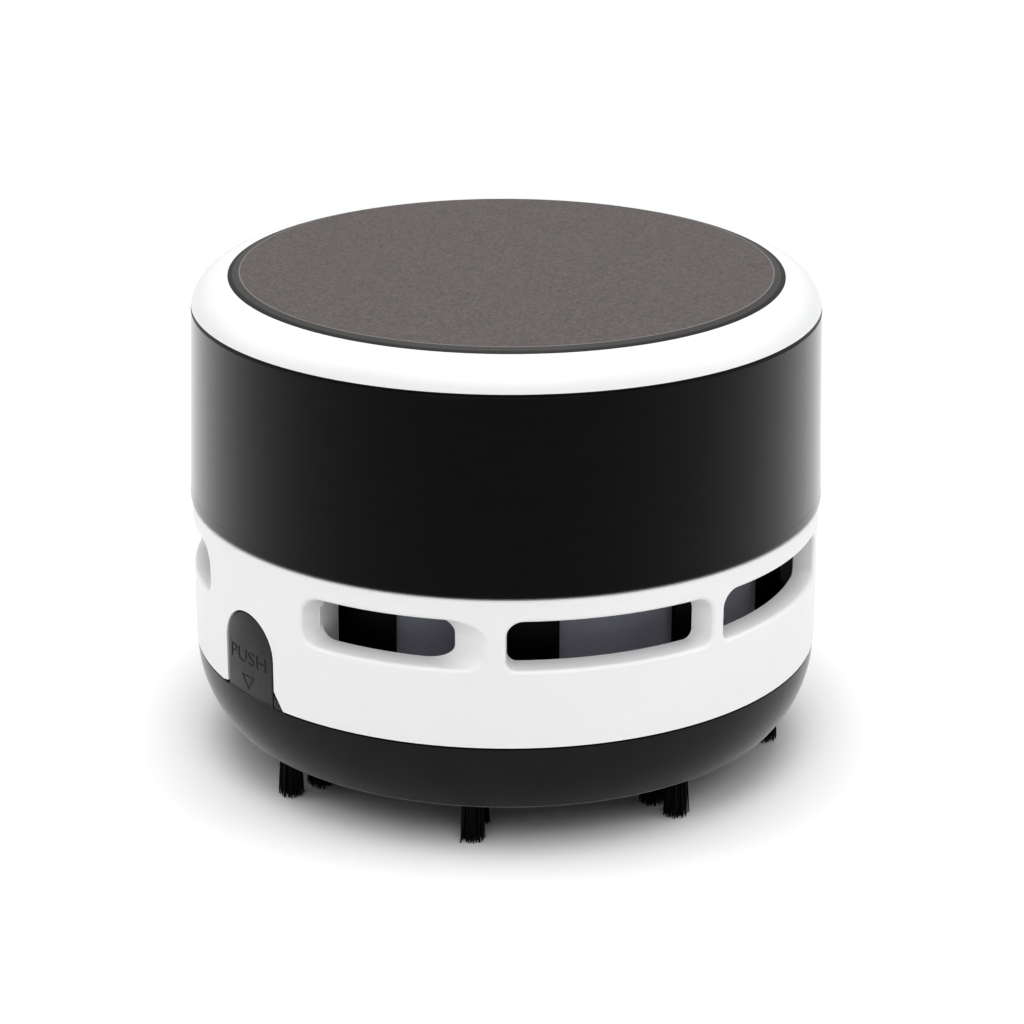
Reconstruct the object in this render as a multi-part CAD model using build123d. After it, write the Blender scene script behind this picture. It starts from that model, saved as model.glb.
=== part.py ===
from build123d import *
from math import asin, cos, degrees, hypot, radians, sin
import os

# Desktop mini vacuum cleaner. Millimetres, +Z up, origin on the floor under the axis.
# The front is -Y. Azimuths are degrees from +X, anticlockwise seen from above.
# The body is three stacked shells: a dust tray on brushes, a ring with the air outlets,
# and a drum with motor and batteries under a lift-off cap.

os.makedirs("parts", exist_ok=True)

# ---- Driving dimensions: heights of the stack
UNDERSIDE_Z = 5.6          # flat underside of the dust tray, above the bristle tips
SEAM_Z = 15.46             # tray to ring
RING_TOP_Z = 35.67         # ring to drum
DRUM_TOP_Z = 61.83         # drum to cap
TOP_Z = 66.09              # face of the top disc

# ---- Driving dimensions: radii of the outside
BASE_R = 42.1
RING_LOW_R = 42.18
RING_TOP_R = 42.3
DRUM_LOW_R = 42.5
DRUM_TOP_R = 41.69
DISC_R = 36.71

# ---- Dust tray
BASE_ARC_R = 15.0          # bowl side, struck from a centre on the seam plane
BASE_WALL = 2.0
BASE_EDGE_FILLET = 0.8
BASE_RIM_FILLET = 0.15
SPIGOT_R = (38.2, 39.7)    # upstanding rim that locates the ring
SPIGOT_RISE = 2.6
SPIGOT_ROOT = 3.5
INLET_LENGTH = 30.0
INLET_WIDTH = 12.0
CHIMNEY_WALL = 1.4
CHIMNEY_TOP_Z = 14.6

# ---- Brush tufts: radial pairs
TUFT_FIRST_AZ = -141.5
TUFT_COUNT = 8
TUFT_RADII = (31.3, 36.0)
TUFT_R = 1.5
TUFT_TIP_R = 1.9
TUFT_CLEARANCE = 0.02
SOCKET_BOSS_R = 2.5
SOCKET_BOSS_HEIGHT = 4.0
SOCKET_CAP = 0.8           # floor left over each socket

# ---- Release tabs, one at TAB_AZ and one opposite
TAB_AZ = -142.0
TAB_WIDTH = 10.15
TAB_TOP_Z = 27.05
TAB_FACE = (39.6, 42.1)    # radii of the part that fills the cut-out
TAB_FACE_RISE = 0.25       # foot of the face, above the hinge
TAB_LIP_R = 41.75          # inside of the lip that closes the face down to the tray
TAB_LIP_GAP = 0.05
TAB_EDGE = 0.25            # chamfer round the face
TAB_STOP = (38.9, 39.85)   # radii of the flange behind the ring wall
TAB_STOP_LAP = 1.0
TAB_STOP_LOW_Z = 18.6
TAB_STOP_ROOM = 1.2
TAB_GAP = 0.3
HINGE_X = 40.9
HINGE_Z = 15.5
HINGE_R = 0.8
HINGE_CLEARANCE = 0.05
FLARE_WIDE = (1.75, 2.5)   # width and height of the cut-out's flared foot
FLARE_SMALL = (2.0, 0.5)

# ---- Outlet ring
RING_WALL_R = 40.0         # inner radius of the plain wall
RING_EDGE_FILLET = 0.5
SHADOW_R = 41.2            # inside of the shadow gap over the tray
SHADOW_GAP = 0.15
BAND_R = 39.4              # inner radius of the wall round the windows
BAND_LOW_Z = 24.2
BAND_STEP = 0.6
LEDGE_R = 38.0             # ledge over the windows, which carries the fan plate
LEDGE_Z = (33.0, 33.8)     # at the wall and at its tip
REBATE_R = 39.6
REBATE_Z = 34.6
WINDOW_TOP_Z = 32.6
SILL_Z = (26.43, 26.0)     # at the inner and the outer face of the wall
WINDOW_SOFT_EDGE = 0.5
# Windows on one side of the tabs. Each end wall is given by its angles from the tab's axis, at
# the inner and the outer face of the wall, and each window has a corner radius at its top and
# one at its sill.
WINDOWS = (((15.96, 14.36), (42.95, 49.2), (2.7, 2.2)), ((52.4, 52.23), (88.92, 90.7), (2.2, 1.3)),
           ((93.7, 93.25), (128.7, 129.1), (2.3, 1.0)), ((137.6, 132.0), (164.04, 165.64), (2.7, 2.2)))
BAFFLE_ANGLES = (14.4, 15.96)  # wall between each tab and the windows beside it
BAFFLE_R = 36.1
TAB_POCKET_ANGLE = 12.5
TAB_POCKET_RISE = 3.0

# ---- Fan plate, impeller, filter
PLATE_Z = (33.7, 35.67)
PLATE_R = 37.85
PLATE_FLANGE_R = 39.45
SHROUD_R = (26.4, 27.6)
SHROUD_Z = 31.6
IMPELLER_R = 25.0
IMPELLER_PLATE_Z = (31.0, 32.2)
BLADE_COUNT = 9
BLADE_LOW_Z = 24.6
BLADE_THICK = 1.0
BLADE_SWEEP = 48.0         # angle from the hub to the tip
BLADE_ARC_R = 17.0
HUB_R = 5.0
HUB_LOW_Z = 23.6
HUB_STRAIGHT = 3.0
HUB_FLARE = (1.2, 3.6)     # growth in radius halfway up the flare and at its top
FILTER_R = (34.1, 34.9)
FILTER_Z = (9.6, 32.4)
FILTER_TOP_LIP = (1.8, 1.0)    # width inwards and thickness
FILTER_FOOT_LIP = (2.6, 1.2)
FILTER_PANELS = ((28.2, 51.0), (63.4, 90.9), (103.0, 139.5), (151.0, 174.0))
FILTER_PANEL_Z = (14.4, 30.8)
FILTER_LUG_ANGLES = (140.15, 320.15)
FILTER_LUG = (37.4, 1.6)   # outer radius and width of the lugs that key the cage
FILTER_LUG_Z = (15.6, 27.2)
MESH_THICK = 0.3

# ---- Motor
MOTOR_R = 12.0
MOTOR_CAN_TOP_Z = 57.6
MOTOR_TOP_Z = 60.2
MOTOR_EDGE_FILLET = 1.0
MOTOR_BOSS_R = 3.0
MOTOR_BOSS_DROP = 1.4
MOTOR_SCREW_X = (-8.0, 8.0)
MOTOR_SCREW_R = 1.0
MOTOR_SCREW_REACH = 2.6
MOTOR_SCREW_HEAD = (1.9, 0.9)  # radius and height
BUSH_R = 2.0
BUSH_LENGTH = 3.0
SHAFT_R = 1.0
SHAFT_CLEARANCE = 0.03
SHAFT_SOCKET = 1.5         # floor left under the shaft in the hub
TERMINAL_X = 7.5
TERMINAL_SIZE = (0.5, 2.6, 3.2)
TERMINAL_SLOT = (2.2, 3.2)

# ---- Chassis and screws
LIP_R = 38.0
LIP_TOP_Z = 36.87
CHASSIS_FLANGE_R = 39.4
CHASSIS_FLOOR_Z = 38.07
COLLAR_R = 13.3
COLLAR_TOP_Z = 50.0
SCREW_PLACES = ((9.0, 32.0), (-9.0, 32.0), (9.0, -32.0), (-9.0, -32.0))
SCREW_BOSS_R = 3.2
SCREW_BOSS_TOP_Z = 45.0
SCREW_HEAD_SINK = 0.6
SCREW_R = 1.3
SCREW_HEAD_R = 2.5
SCREW_HEAD = 1.2
SCREW_LENGTH = 9.0

# ---- Batteries: two AA cells, one each side of the motor
CELL_R = 7.15
CELL_LENGTH = 50.5
CELL_NUB = (2.75, 1.2)     # radius and length
CELL_X = 21.0
CELL_Z = 46.2
CRADLE_R = (7.35, 8.75)
CRADLE_END_Y = (27.3, 28.6)
CRADLE_RIB_Y = (-18.0, 0.0, 18.0)
CRADLE_RIB = (6.5, 0.7)    # half width and half thickness
CRADLE_END_HALF = 7.4
CRADLE_END_RISE = 5.0
MARK_X = 16.6              # plus and minus marks on the floor beside the cells' ends
MARK_Y = 34.0
MARK_SIZE = (3.0, 0.8, 0.3)    # length and width of a bar, and its height over the floor
CONTACT_THICK = 0.4
CONTACT_SIZE = 8.4
CONTACT_RISE = 0.4         # centre of a plate above the cell's axis
CONTACT_GAP = 0.05
TAG_X = (16.9, 18.5)       # solder tags on the two rear plates
TAG_TOP_Z = 53.0
BRIDGE_RISE = (0.2, 3.2)
SPRING_WIRE_R = 0.4
SPRING_PITCH = 0.98
SPRING_TIP_R = 2.4
SPRING_CONE_ANGLE = 16.0

# ---- Leads between motor, switch and cells
LEAD_R = 0.65
LEAD_OVER_MOTOR_Z = 60.15
LEAD_TAG = (27.6, 52.1)    # Y and Z of the run along the top of a cradle's end wall
LEAD_BEND_R = 6.5
LEAD_TIGHT_BEND_R = 3.9
LEAD_END_BEND_R = 2.3

# ---- Drum, switch, cap
DRUM_INNER_R = 39.7
SWITCH_Z = 49.0
SWITCH_TRAVEL = 4.0
DRUM_TOP_CHAMFER = 0.35
DRUM_FOOT_FILLET = 0.4
POCKET_FLOOR_Y = 40.6
POCKET_SIZE = (15.0, 7.0)
POCKET_CORNER = 1.5
POCKET_BACKING = 1.8       # wall round the pocket, inside the drum
PAD_SIZE = (7.0, 5.4)
PAD_CORNER = 1.0
GRIP_PITCH = 1.2
GRIP_GROOVE = (0.6, 0.4)   # width and depth
STEM_SIZE = (3.0, 2.6)
STEM_REACH = 3.2
STEM_CLEARANCE = (0.3, 0.25)
SWITCH_WALL = 2.0          # pocket floor to the switch's frame
SWITCH_DEPTH = 5.6
SWITCH_HALF = (6.2, 3.4)   # half width and half height
SWITCH_MOUTH = (0.4, 1.7)  # room beyond the stem's travel, and half height
FRAME_HALF_X = 8.8
FRAME_THICK = 0.4
CAP_GAP = 0.2
CAP_WALL = 1.8
CAP_SPIGOT_R = (37.9, 39.4)
CAP_SPIGOT_DROP = 3.4
CAP_INSET = 0.05
CAP_CROWN = (40.25, 64.45) # point on the shoulder's arc
CAP_SHOULDER_R = 37.1
CAP_SHOULDER_Z = 65.62
CAP_BEADS = (4, 14.0)      # how many, and the angle that each spans
CAP_BEAD_R = 39.62
CAP_BEAD_Z = (59.4, 60.2)
CAP_RIB_Y = (-12.0, 12.0)
CAP_RIB = (5.0, 0.7)       # half width and half thickness
CAP_RIB_GAP = 0.4          # over the cells
DISC_UNDER_Z = 64.4
DISC_GAP = 0.05
DISC_BEVEL = (0.45, 1.5)

UPRIGHT = (Align.CENTER, Align.CENTER, Align.MIN)
OVERCUT = 1.0


# ---- Helpers
def rod(radius, low, high, x=0.0, y=0.0):
    """Upright cylinder between two heights."""
    return Pos(x, y, low) * Cylinder(radius, high - low, align=UPRIGHT)


def tube(inner, outer, low, high):
    """Upright tube on the axis."""
    return rod(outer, low, high) - rod(inner, low - OVERCUT, high + OVERCUT)


def block(x, y, z):
    """Box given by its (low, high) pairs."""
    size = [high - low for low, high in (x, y, z)]
    centre = [(high + low) / 2 for low, high in (x, y, z)]
    return Pos(*centre) * Box(*size)


def revolved(*edges):
    """Turn a closed outline, given in radius and height, about the axis."""
    return revolve(Plane.XZ * make_face(edges), Axis.Z)


def polar(radius, angle):
    """Point at a radius and an angle in degrees."""
    return (radius * cos(radians(angle)), radius * sin(radians(angle)))


def wedge(inner, outer, start, end, low, high):
    """Prism that cuts a tube from one angle to another."""
    reach = cos(radians((end - start) / 2))
    corners = [polar(inner, start), polar(outer / reach, start), polar(outer / reach, end), polar(inner, end)]
    return Pos(0, 0, low) * extrude(make_face(Polyline(*corners, close=True)), high - low)


def along_y(radius, low, high, x=0.0, z=0.0):
    """Cylinder lying along Y."""
    return Pos(x, low, z) * Rot(-90, 0, 0) * Cylinder(radius, high - low, align=UPRIGHT)


def at_both_tabs(shape):
    """A shape drawn with the tab on +X, turned to both tab places."""
    return [Rot(0, 0, TAB_AZ) * shape, Rot(0, 0, TAB_AZ + 180) * shape]


def save(name, shapes):
    """Write one node, as one solid or as a group of separate solids."""
    if not isinstance(shapes, list):
        shapes = [shapes]
    solids = [solid for shape in shapes for solid in shape.solids()]
    export_step(solids[0] if len(solids) == 1 else Compound(children=solids), f"parts/{name}.step")
    print(f"{name:18s} {len(solids):3d} solids {sum(s.volume for s in solids) / 1000:8.3f} cm3")


# ---- Dust tray
def bowl(inset):
    """Solid bowl under the seam plane, drawn in by a wall thickness."""
    low = UNDERSIDE_Z + inset
    radius = BASE_ARC_R - inset
    centre = BASE_R - BASE_ARC_R
    end = degrees(asin((SEAM_Z - low) / radius))
    side = CenterArc((centre, SEAM_Z), radius, -end, end)
    foot = (centre + radius * cos(radians(end)), low)
    rim = (centre + radius, SEAM_Z)
    return revolved(side, Line(rim, (0, SEAM_Z)), Line((0, SEAM_Z), (0, low)), Line((0, low), foot))


def slot(length, width, low, high):
    """Round-ended upright prism along X."""
    return Pos(0, 0, low) * extrude(SlotOverall(length, width), high - low)


def tuft_places():
    """Centres of the sockets: radial pairs round the tray."""
    step = 360 / TUFT_COUNT
    return [polar(radius, TUFT_FIRST_AZ + step * i) for i in range(TUFT_COUNT) for radius in TUFT_RADII]


def tab_footing():
    """What the tray loses at a tab: rim, hinge groove and room for the flange."""
    half = TAB_WIDTH / 2 + HINGE_CLEARANCE
    room = TAB_WIDTH / 2 + TAB_STOP_LAP + TAB_STOP_ROOM
    rim_x = (SPIGOT_R[0] - OVERCUT, SPIGOT_R[1] + 0.2)
    rim = block(rim_x, (-room, room), (SEAM_Z - 0.6, SEAM_Z + SPIGOT_RISE + OVERCUT))
    groove = along_y(HINGE_R + HINGE_CLEARANCE, -half, half, HINGE_X, HINGE_Z)
    return rim + groove


def base_shell():
    """Bowl with a locating rim, an inlet duct and a socket for each tuft."""
    outer = bowl(0)
    outer = fillet(outer.edges().group_by(Axis.Z)[0], BASE_EDGE_FILLET)
    outer = fillet(outer.edges().group_by(Axis.Z)[-1], BASE_RIM_FILLET)
    shell = outer - bowl(BASE_WALL)
    shell += tube(SPIGOT_R[0], SPIGOT_R[1], SEAM_Z - SPIGOT_ROOT, SEAM_Z + SPIGOT_RISE)
    shell += tube(SPIGOT_R[0], BASE_R - BASE_WALL + 0.5, SEAM_Z - SPIGOT_ROOT, SEAM_Z)
    boss_top = UNDERSIDE_Z + SOCKET_BOSS_HEIGHT
    for x, y in tuft_places():
        shell += rod(SOCKET_BOSS_R, UNDERSIDE_Z + 0.5, boss_top, x, y)
    shell &= outer + tube(SPIGOT_R[0], SPIGOT_R[1], SEAM_Z, SEAM_Z + SPIGOT_RISE)
    shell += slot(INLET_LENGTH + 2 * CHIMNEY_WALL, INLET_WIDTH + 2 * CHIMNEY_WALL, UNDERSIDE_Z, CHIMNEY_TOP_Z)
    shell -= slot(INLET_LENGTH, INLET_WIDTH, 0, CHIMNEY_TOP_Z + OVERCUT)
    for x, y in tuft_places():
        shell -= rod(TUFT_R + TUFT_CLEARANCE, 0, boss_top - SOCKET_CAP, x, y)
    for footing in at_both_tabs(tab_footing()):
        shell -= footing
    return shell


def brush_tufts():
    """Each tuft is straight in its socket and fans out towards the floor."""
    socket_top = UNDERSIDE_Z + SOCKET_BOSS_HEIGHT - SOCKET_CAP
    tufts = []
    for x, y in tuft_places():
        fan = Pos(x, y, 0) * Cone(TUFT_TIP_R, TUFT_R, UNDERSIDE_Z, align=UPRIGHT)
        tufts.append(fan + rod(TUFT_R, UNDERSIDE_Z, socket_top, x, y))
    return tufts


# ---- Release tabs
def tab_outline(grow, low):
    """Straight sides and a half-round top, in the plane square to the tab's axis."""
    half = TAB_WIDTH / 2 + grow
    crown_z = TAB_TOP_Z - TAB_WIDTH / 2
    crown = CenterArc((0, crown_z), half, 0, 180)
    left = Line((-half, crown_z), (-half, low))
    foot = Line((-half, low), (half, low))
    right = Line((half, low), (half, crown_z))
    return Plane.YZ * make_face([crown, left, foot, right])


def tab_prism(grow, low, near, far):
    """The outline pushed out along the tab's axis."""
    return Pos(near, 0, 0) * extrude(tab_outline(grow, low), far - near, dir=(1, 0, 0))


def on_tab_face(edge):
    """True for an edge round the outer face of the tab, its foot left out."""
    points = [edge.position_at(t) for t in (0, 0.5, 1)]
    outside = min(hypot(p.X, p.Y) for p in points) > TAB_FACE[1] - 0.05
    return outside and max(p.Z for p in points) > SEAM_Z + 1


def release_tab():
    """Face plate with a lip down to the tray, stop flange behind the ring wall, and round hinge root."""
    blank = tab_prism(0, SEAM_Z + TAB_LIP_GAP, TAB_FACE[0] - OVERCUT, BASE_R + OVERCUT)
    blank &= tube(TAB_FACE[0], TAB_FACE[1], 0, TOP_Z)
    blank -= rod(TAB_LIP_R, 0, HINGE_Z + TAB_FACE_RISE)
    face = chamfer([e for e in blank.edges() if on_tab_face(e)], TAB_EDGE)
    stop = tab_prism(TAB_STOP_LAP, TAB_STOP_LOW_Z, TAB_STOP[0] - 3, TAB_STOP[1] + OVERCUT)
    stop &= tube(TAB_STOP[0], TAB_STOP[1], 0, TOP_Z)
    root = along_y(HINGE_R, -TAB_WIDTH / 2, TAB_WIDTH / 2, HINGE_X, HINGE_Z)
    return face + stop + root


def flared_foot(side, size):
    """Triangle at a lower corner of the cut-out."""
    edge = side * (TAB_WIDTH / 2 + TAB_GAP)
    inside = edge - side * OVERCUT
    low = SEAM_Z - OVERCUT
    top = SEAM_Z + size[1]
    grow = size[0] * (size[1] + OVERCUT) / size[1]
    corners = [(inside, low), (edge + side * grow, low), (edge, top), (inside, top)]
    face = Plane.YZ * make_face(Polyline(*corners, close=True))
    return Pos(RING_WALL_R - 3, 0, 0) * extrude(face, 8, dir=(1, 0, 0))


# ---- Outlet ring
def window_band():
    """Ring that holds all the windows: flat on top, with the sills' slope underneath."""
    fall = (SILL_Z[0] - SILL_Z[1]) / (RING_TOP_R - BAND_R)
    inner, outer = BAND_R - OVERCUT, RING_TOP_R + OVERCUT
    sill = [SILL_Z[0] - fall * (radius - BAND_R) for radius in (inner, outer)]
    return revolved(Polyline((inner, sill[0]), (outer, sill[1]), (outer, WINDOW_TOP_Z), (inner, WINDOW_TOP_Z),
                             close=True))


def end_line(inner_angle, outer_angle):
    """Plan line of an end wall, drawn on past both faces of the ring's wall."""
    inner, outer = Vector(*polar(BAND_R, inner_angle)), Vector(*polar(RING_TOP_R, outer_angle))
    along = (outer - inner).normalized()
    return [inner - along * 3, outer + along * 7]


def level_edges(part, low, high):
    """Level edges of a cutter's upright end walls, between two heights."""
    ends = [face for face in part.faces().filter_by(GeomType.PLANE) if abs(face.normal_at().Z) < 0.1]
    edges = [e for face in ends for e in face.edges() if abs(e.tangent_at(0.5).Z) < 0.5]
    return [e for e in edges if low < e.center().Z < high]


def window(near, far, corners, band):
    """Window cutter between two end walls, with round corners."""
    outline = end_line(*near) + end_line(*far)[::-1]
    cutter = extrude(make_face(Polyline(*outline, close=True)), TOP_Z) & band
    middle = (WINDOW_TOP_Z + SILL_Z[0]) / 2
    cutter = fillet(level_edges(cutter, middle, TOP_Z), corners[0])
    return fillet(level_edges(cutter, 0, middle), corners[1])


def windows():
    """Eight windows: four on one side of the tabs' axis, and the same turned half round."""
    band = window_band()
    half = [window(near, far, corners, band) for near, far, corners in WINDOWS]
    return half + [Rot(0, 0, 180) * cutter for cutter in half]


def baffles():
    """Walls that keep the outlet air off the tabs."""
    start, end = BAFFLE_ANGLES
    sectors = [(start, end), (-end, -start), (180 + start, 180 + end), (180 - end, 180 - start)]
    return [wedge(BAFFLE_R, BAND_R + 0.4, low, high, BAND_LOW_Z, LEDGE_Z[0] + 0.3) for low, high in sectors]


def is_window_rim(edge):
    """True for an outer edge of a window."""
    points = [edge.position_at(t) for t in (0, 0.5, 1)]
    inside = min(p.Z for p in points) > SILL_Z[1] - 0.3 and max(p.Z for p in points) < WINDOW_TOP_Z + 0.1
    return inside and min(hypot(p.X, p.Y) for p in points) > RING_LOW_R - 0.1


def exhaust_ring():
    """Outer wall with a shadow gap at its foot, the fan plate's ledge, windows and tab cut-outs."""
    foot = ((RING_WALL_R, SEAM_Z), (SHADOW_R, SEAM_Z), (SHADOW_R, SEAM_Z + SHADOW_GAP),
            (RING_LOW_R, SEAM_Z + SHADOW_GAP))
    head = ((RING_TOP_R, RING_TOP_Z), (REBATE_R, RING_TOP_Z), (REBATE_R, REBATE_Z), (LEDGE_R, REBATE_Z))
    inside = ((LEDGE_R, LEDGE_Z[1]), (BAND_R, LEDGE_Z[0]), (BAND_R, BAND_LOW_Z), (RING_WALL_R, BAND_LOW_Z - BAND_STEP))
    ring = revolved(Polyline(*foot, *head, *inside, close=True))
    ring = fillet(ring.edges().group_by(Axis.Z)[-1].sort_by(SortBy.LENGTH)[-1], RING_EDGE_FILLET)
    for side in (0, 180):
        pocket = wedge(LEDGE_R, RING_WALL_R, side - TAB_POCKET_ANGLE, side + TAB_POCKET_ANGLE, SEAM_Z,
                       TAB_TOP_Z + TAB_POCKET_RISE)
        ring -= pocket & rod(RING_WALL_R, 0, TOP_Z)
    for cutter in windows():
        ring -= cutter
    ring = fillet([e for e in ring.edges() if is_window_rim(e)], WINDOW_SOFT_EDGE)
    for baffle in baffles():
        ring += baffle
    cut = tab_prism(TAB_GAP, SEAM_Z - OVERCUT, RING_WALL_R - 3, RING_LOW_R + 3)
    cut += flared_foot(1, FLARE_WIDE) + flared_foot(-1, FLARE_SMALL)
    ring = ring - cut - Rot(0, 0, 180) * cut
    return Rot(0, 0, TAB_AZ) * ring


# ---- Filter
def filter_frame():
    """Cage with an inward lip at each end and panels left open for the mesh."""
    inner, outer = FILTER_R
    low, high = FILTER_Z
    frame = tube(inner, outer, low, high)
    frame += tube(inner - FILTER_TOP_LIP[0], outer, high - FILTER_TOP_LIP[1], high)
    frame += tube(inner - FILTER_FOOT_LIP[0], outer, low, low + FILTER_FOOT_LIP[1])
    for half_turn in (0, 180):
        for start, end in FILTER_PANELS:
            frame -= wedge(inner - 1, outer + 1, start + half_turn, end + half_turn, *FILTER_PANEL_Z)
    for angle in FILTER_LUG_ANGLES:
        frame += Rot(0, 0, angle) * filter_lug()
    return Rot(0, 0, TAB_AZ) * frame


def filter_lug():
    """Upright lug with a lead-in at its top."""
    reach, width = FILTER_LUG
    lug = block((FILTER_R[1] - 0.2, reach), (-width / 2, width / 2), FILTER_LUG_Z)
    return chamfer(lug.edges().group_by(Axis.Z)[-1].sort_by(Axis.X)[-1], 1.2)


def filter_mesh():
    """Mesh sleeve inside the cage, between its lips."""
    return tube(FILTER_R[0] - MESH_THICK, FILTER_R[0], FILTER_Z[0] + FILTER_FOOT_LIP[1],
                FILTER_Z[1] - FILTER_TOP_LIP[1])


# ---- Fan
def fan_plate():
    plate = rod(PLATE_R, *PLATE_Z) + rod(PLATE_FLANGE_R, REBATE_Z, PLATE_Z[1])
    plate += tube(SHROUD_R[0], SHROUD_R[1], SHROUD_Z, PLATE_Z[0])
    plate -= rod(MOTOR_BOSS_R + 0.05, 0, TOP_Z)
    for x, y in SCREW_PLACES:
        plate -= rod(SCREW_R + 0.1, 0, TOP_Z, x, y)
        plate -= rod(SCREW_HEAD_R + 0.15, 0, PLATE_Z[0] + SCREW_HEAD_SINK, x, y)
    for x in MOTOR_SCREW_X:
        plate -= rod(MOTOR_SCREW_R + 0.1, 0, TOP_Z, x, 0)
    return plate


def blade():
    """One backward-curved blade, thin in plan."""
    path = RadiusArc(polar(HUB_R - 0.5, 0), polar(IMPELLER_R - 0.4, BLADE_SWEEP), BLADE_ARC_R)
    return Pos(0, 0, BLADE_LOW_Z) * extrude(trace(path, BLADE_THICK), IMPELLER_PLATE_Z[0] - BLADE_LOW_Z)


def impeller():
    """Back plate, hub that flares into it, and curved blades under it."""
    low, high = IMPELLER_PLATE_Z
    neck = (HUB_R, HUB_LOW_Z + HUB_STRAIGHT)
    waist = (HUB_R + HUB_FLARE[0], low - 1.6)
    spread = (HUB_R + HUB_FLARE[1], low)
    body = revolved(Polyline((0, HUB_LOW_Z), (HUB_R, HUB_LOW_Z), neck), ThreePointArc(neck, waist, spread),
                    Polyline(spread, (IMPELLER_R, low), (IMPELLER_R, high), (0, high), (0, HUB_LOW_Z)))
    for i in range(BLADE_COUNT):
        body += Rot(0, 0, 360 / BLADE_COUNT * i) * blade()
    body &= rod(IMPELLER_R, 0, TOP_Z)
    return body - rod(SHAFT_R, HUB_LOW_Z + SHAFT_SOCKET, TOP_Z)


def motor_shaft():
    return rod(SHAFT_R, HUB_LOW_Z + SHAFT_SOCKET, MOTOR_CAN_TOP_Z - 0.2)


# ---- Motor
def motor_can():
    """Steel can with a boss at its foot for the bush."""
    boss_low = PLATE_Z[1] - MOTOR_BOSS_DROP
    can = rod(MOTOR_R, PLATE_Z[1], MOTOR_CAN_TOP_Z)
    can = fillet(can.edges().group_by(Axis.Z)[0], MOTOR_EDGE_FILLET)
    can += rod(MOTOR_BOSS_R, boss_low, PLATE_Z[1] + 0.5)
    can -= rod(BUSH_R, 0, boss_low + BUSH_LENGTH)
    can -= rod(SHAFT_R + 0.6, 0, MOTOR_CAN_TOP_Z + OVERCUT)
    for x in MOTOR_SCREW_X:
        can -= rod(MOTOR_SCREW_R, 0, PLATE_Z[1] + MOTOR_SCREW_REACH + 0.4, x, 0)
    return can


def motor_bushes():
    """Bearing bush in the can's boss."""
    low = PLATE_Z[1] - MOTOR_BOSS_DROP
    return tube(SHAFT_R + SHAFT_CLEARANCE, BUSH_R, low, low + BUSH_LENGTH)


def motor_endbell():
    """Plastic end with a raised centre and a slot for each terminal."""
    bell = rod(MOTOR_R - 0.5, MOTOR_CAN_TOP_Z, MOTOR_TOP_Z - 0.8)
    bell = chamfer(bell.edges().group_by(Axis.Z)[-1], 0.6)
    bell += rod(MOTOR_BOSS_R, MOTOR_CAN_TOP_Z, MOTOR_TOP_Z)
    for side in (-1, 1):
        bell -= Pos(side * TERMINAL_X, 0, MOTOR_CAN_TOP_Z) * Box(*TERMINAL_SLOT, 2 * (MOTOR_TOP_Z - MOTOR_CAN_TOP_Z))
    return bell


def motor_terminals():
    """Two solder tags standing in the endbell's slots."""
    return [Pos(side * TERMINAL_X, 0, MOTOR_CAN_TOP_Z) * Box(*TERMINAL_SIZE, align=UPRIGHT) for side in (-1, 1)]


def motor_screws():
    """Pan-head screws up through the fan plate into the can."""
    head_r, head = MOTOR_SCREW_HEAD
    low, top = PLATE_Z[0], PLATE_Z[1] + MOTOR_SCREW_REACH
    return [rod(MOTOR_SCREW_R, low, top, x) + rod(head_r, low - head, low, x) for x in MOTOR_SCREW_X]


# ---- Chassis
def cradle(side):
    """Half-round battery trough on ribs, with an end wall behind each contact."""
    reach = CRADLE_END_Y[1]
    foot = CHASSIS_FLOOR_Z - 0.5
    x = side * CELL_X
    lower_half = block((x - CRADLE_R[1], x + CRADLE_R[1]), (-reach, reach), (0, CELL_Z))
    body = along_y(CRADLE_R[1], -reach, reach, x, CELL_Z) & lower_half
    for y in CRADLE_RIB_Y:
        body += block((x - CRADLE_RIB[0], x + CRADLE_RIB[0]), (y - CRADLE_RIB[1], y + CRADLE_RIB[1]), (foot, CELL_Z))
    ends = block((x - CRADLE_END_HALF, x + CRADLE_END_HALF), (-reach, reach), (foot, CELL_Z + CRADLE_END_RISE))
    ends -= block((x - 9, x + 9), (-CRADLE_END_Y[0], CRADLE_END_Y[0]), (0, TOP_Z))
    return body + ends


def polarity_mark(x, y, plus):
    """Raised plus or minus on the chassis floor."""
    length, width, rise = MARK_SIZE
    low = CHASSIS_FLOOR_Z - OVERCUT
    across = Pos(x, y, low) * Box(length, width, OVERCUT + rise, align=UPRIGHT)
    upright = Pos(x, y, low) * Box(width, length, OVERCUT + rise, align=UPRIGHT)
    return across + upright if plus else across


def chassis():
    """Floor clamped over the drum's lip, motor collar, cradles, screw bosses and polarity marks."""
    body = rod(LIP_R - 0.1, RING_TOP_Z, CHASSIS_FLOOR_Z) + rod(CHASSIS_FLANGE_R, LIP_TOP_Z, CHASSIS_FLOOR_Z)
    body += rod(COLLAR_R, LIP_TOP_Z, COLLAR_TOP_Z)
    body += cradle(1) + cradle(-1)
    for side in (-1, 1):
        body -= along_y(CRADLE_R[0], -CRADLE_END_Y[0], CRADLE_END_Y[0], side * CELL_X, CELL_Z)
    for x, y in SCREW_PLACES:
        body += rod(SCREW_BOSS_R, LIP_TOP_Z, SCREW_BOSS_TOP_Z, x, y)
    for side in (-1, 1):
        for end in (-1, 1):
            body += polarity_mark(side * MARK_X, end * MARK_Y, side == end)
    body &= rod(CHASSIS_FLANGE_R, RING_TOP_Z, TOP_Z)
    for x, y in SCREW_PLACES:
        body -= rod(SCREW_R - 0.15, 0, SCREW_BOSS_TOP_Z - 0.6, x, y)
    return body - rod(MOTOR_R + 0.1, 0, TOP_Z)


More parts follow.
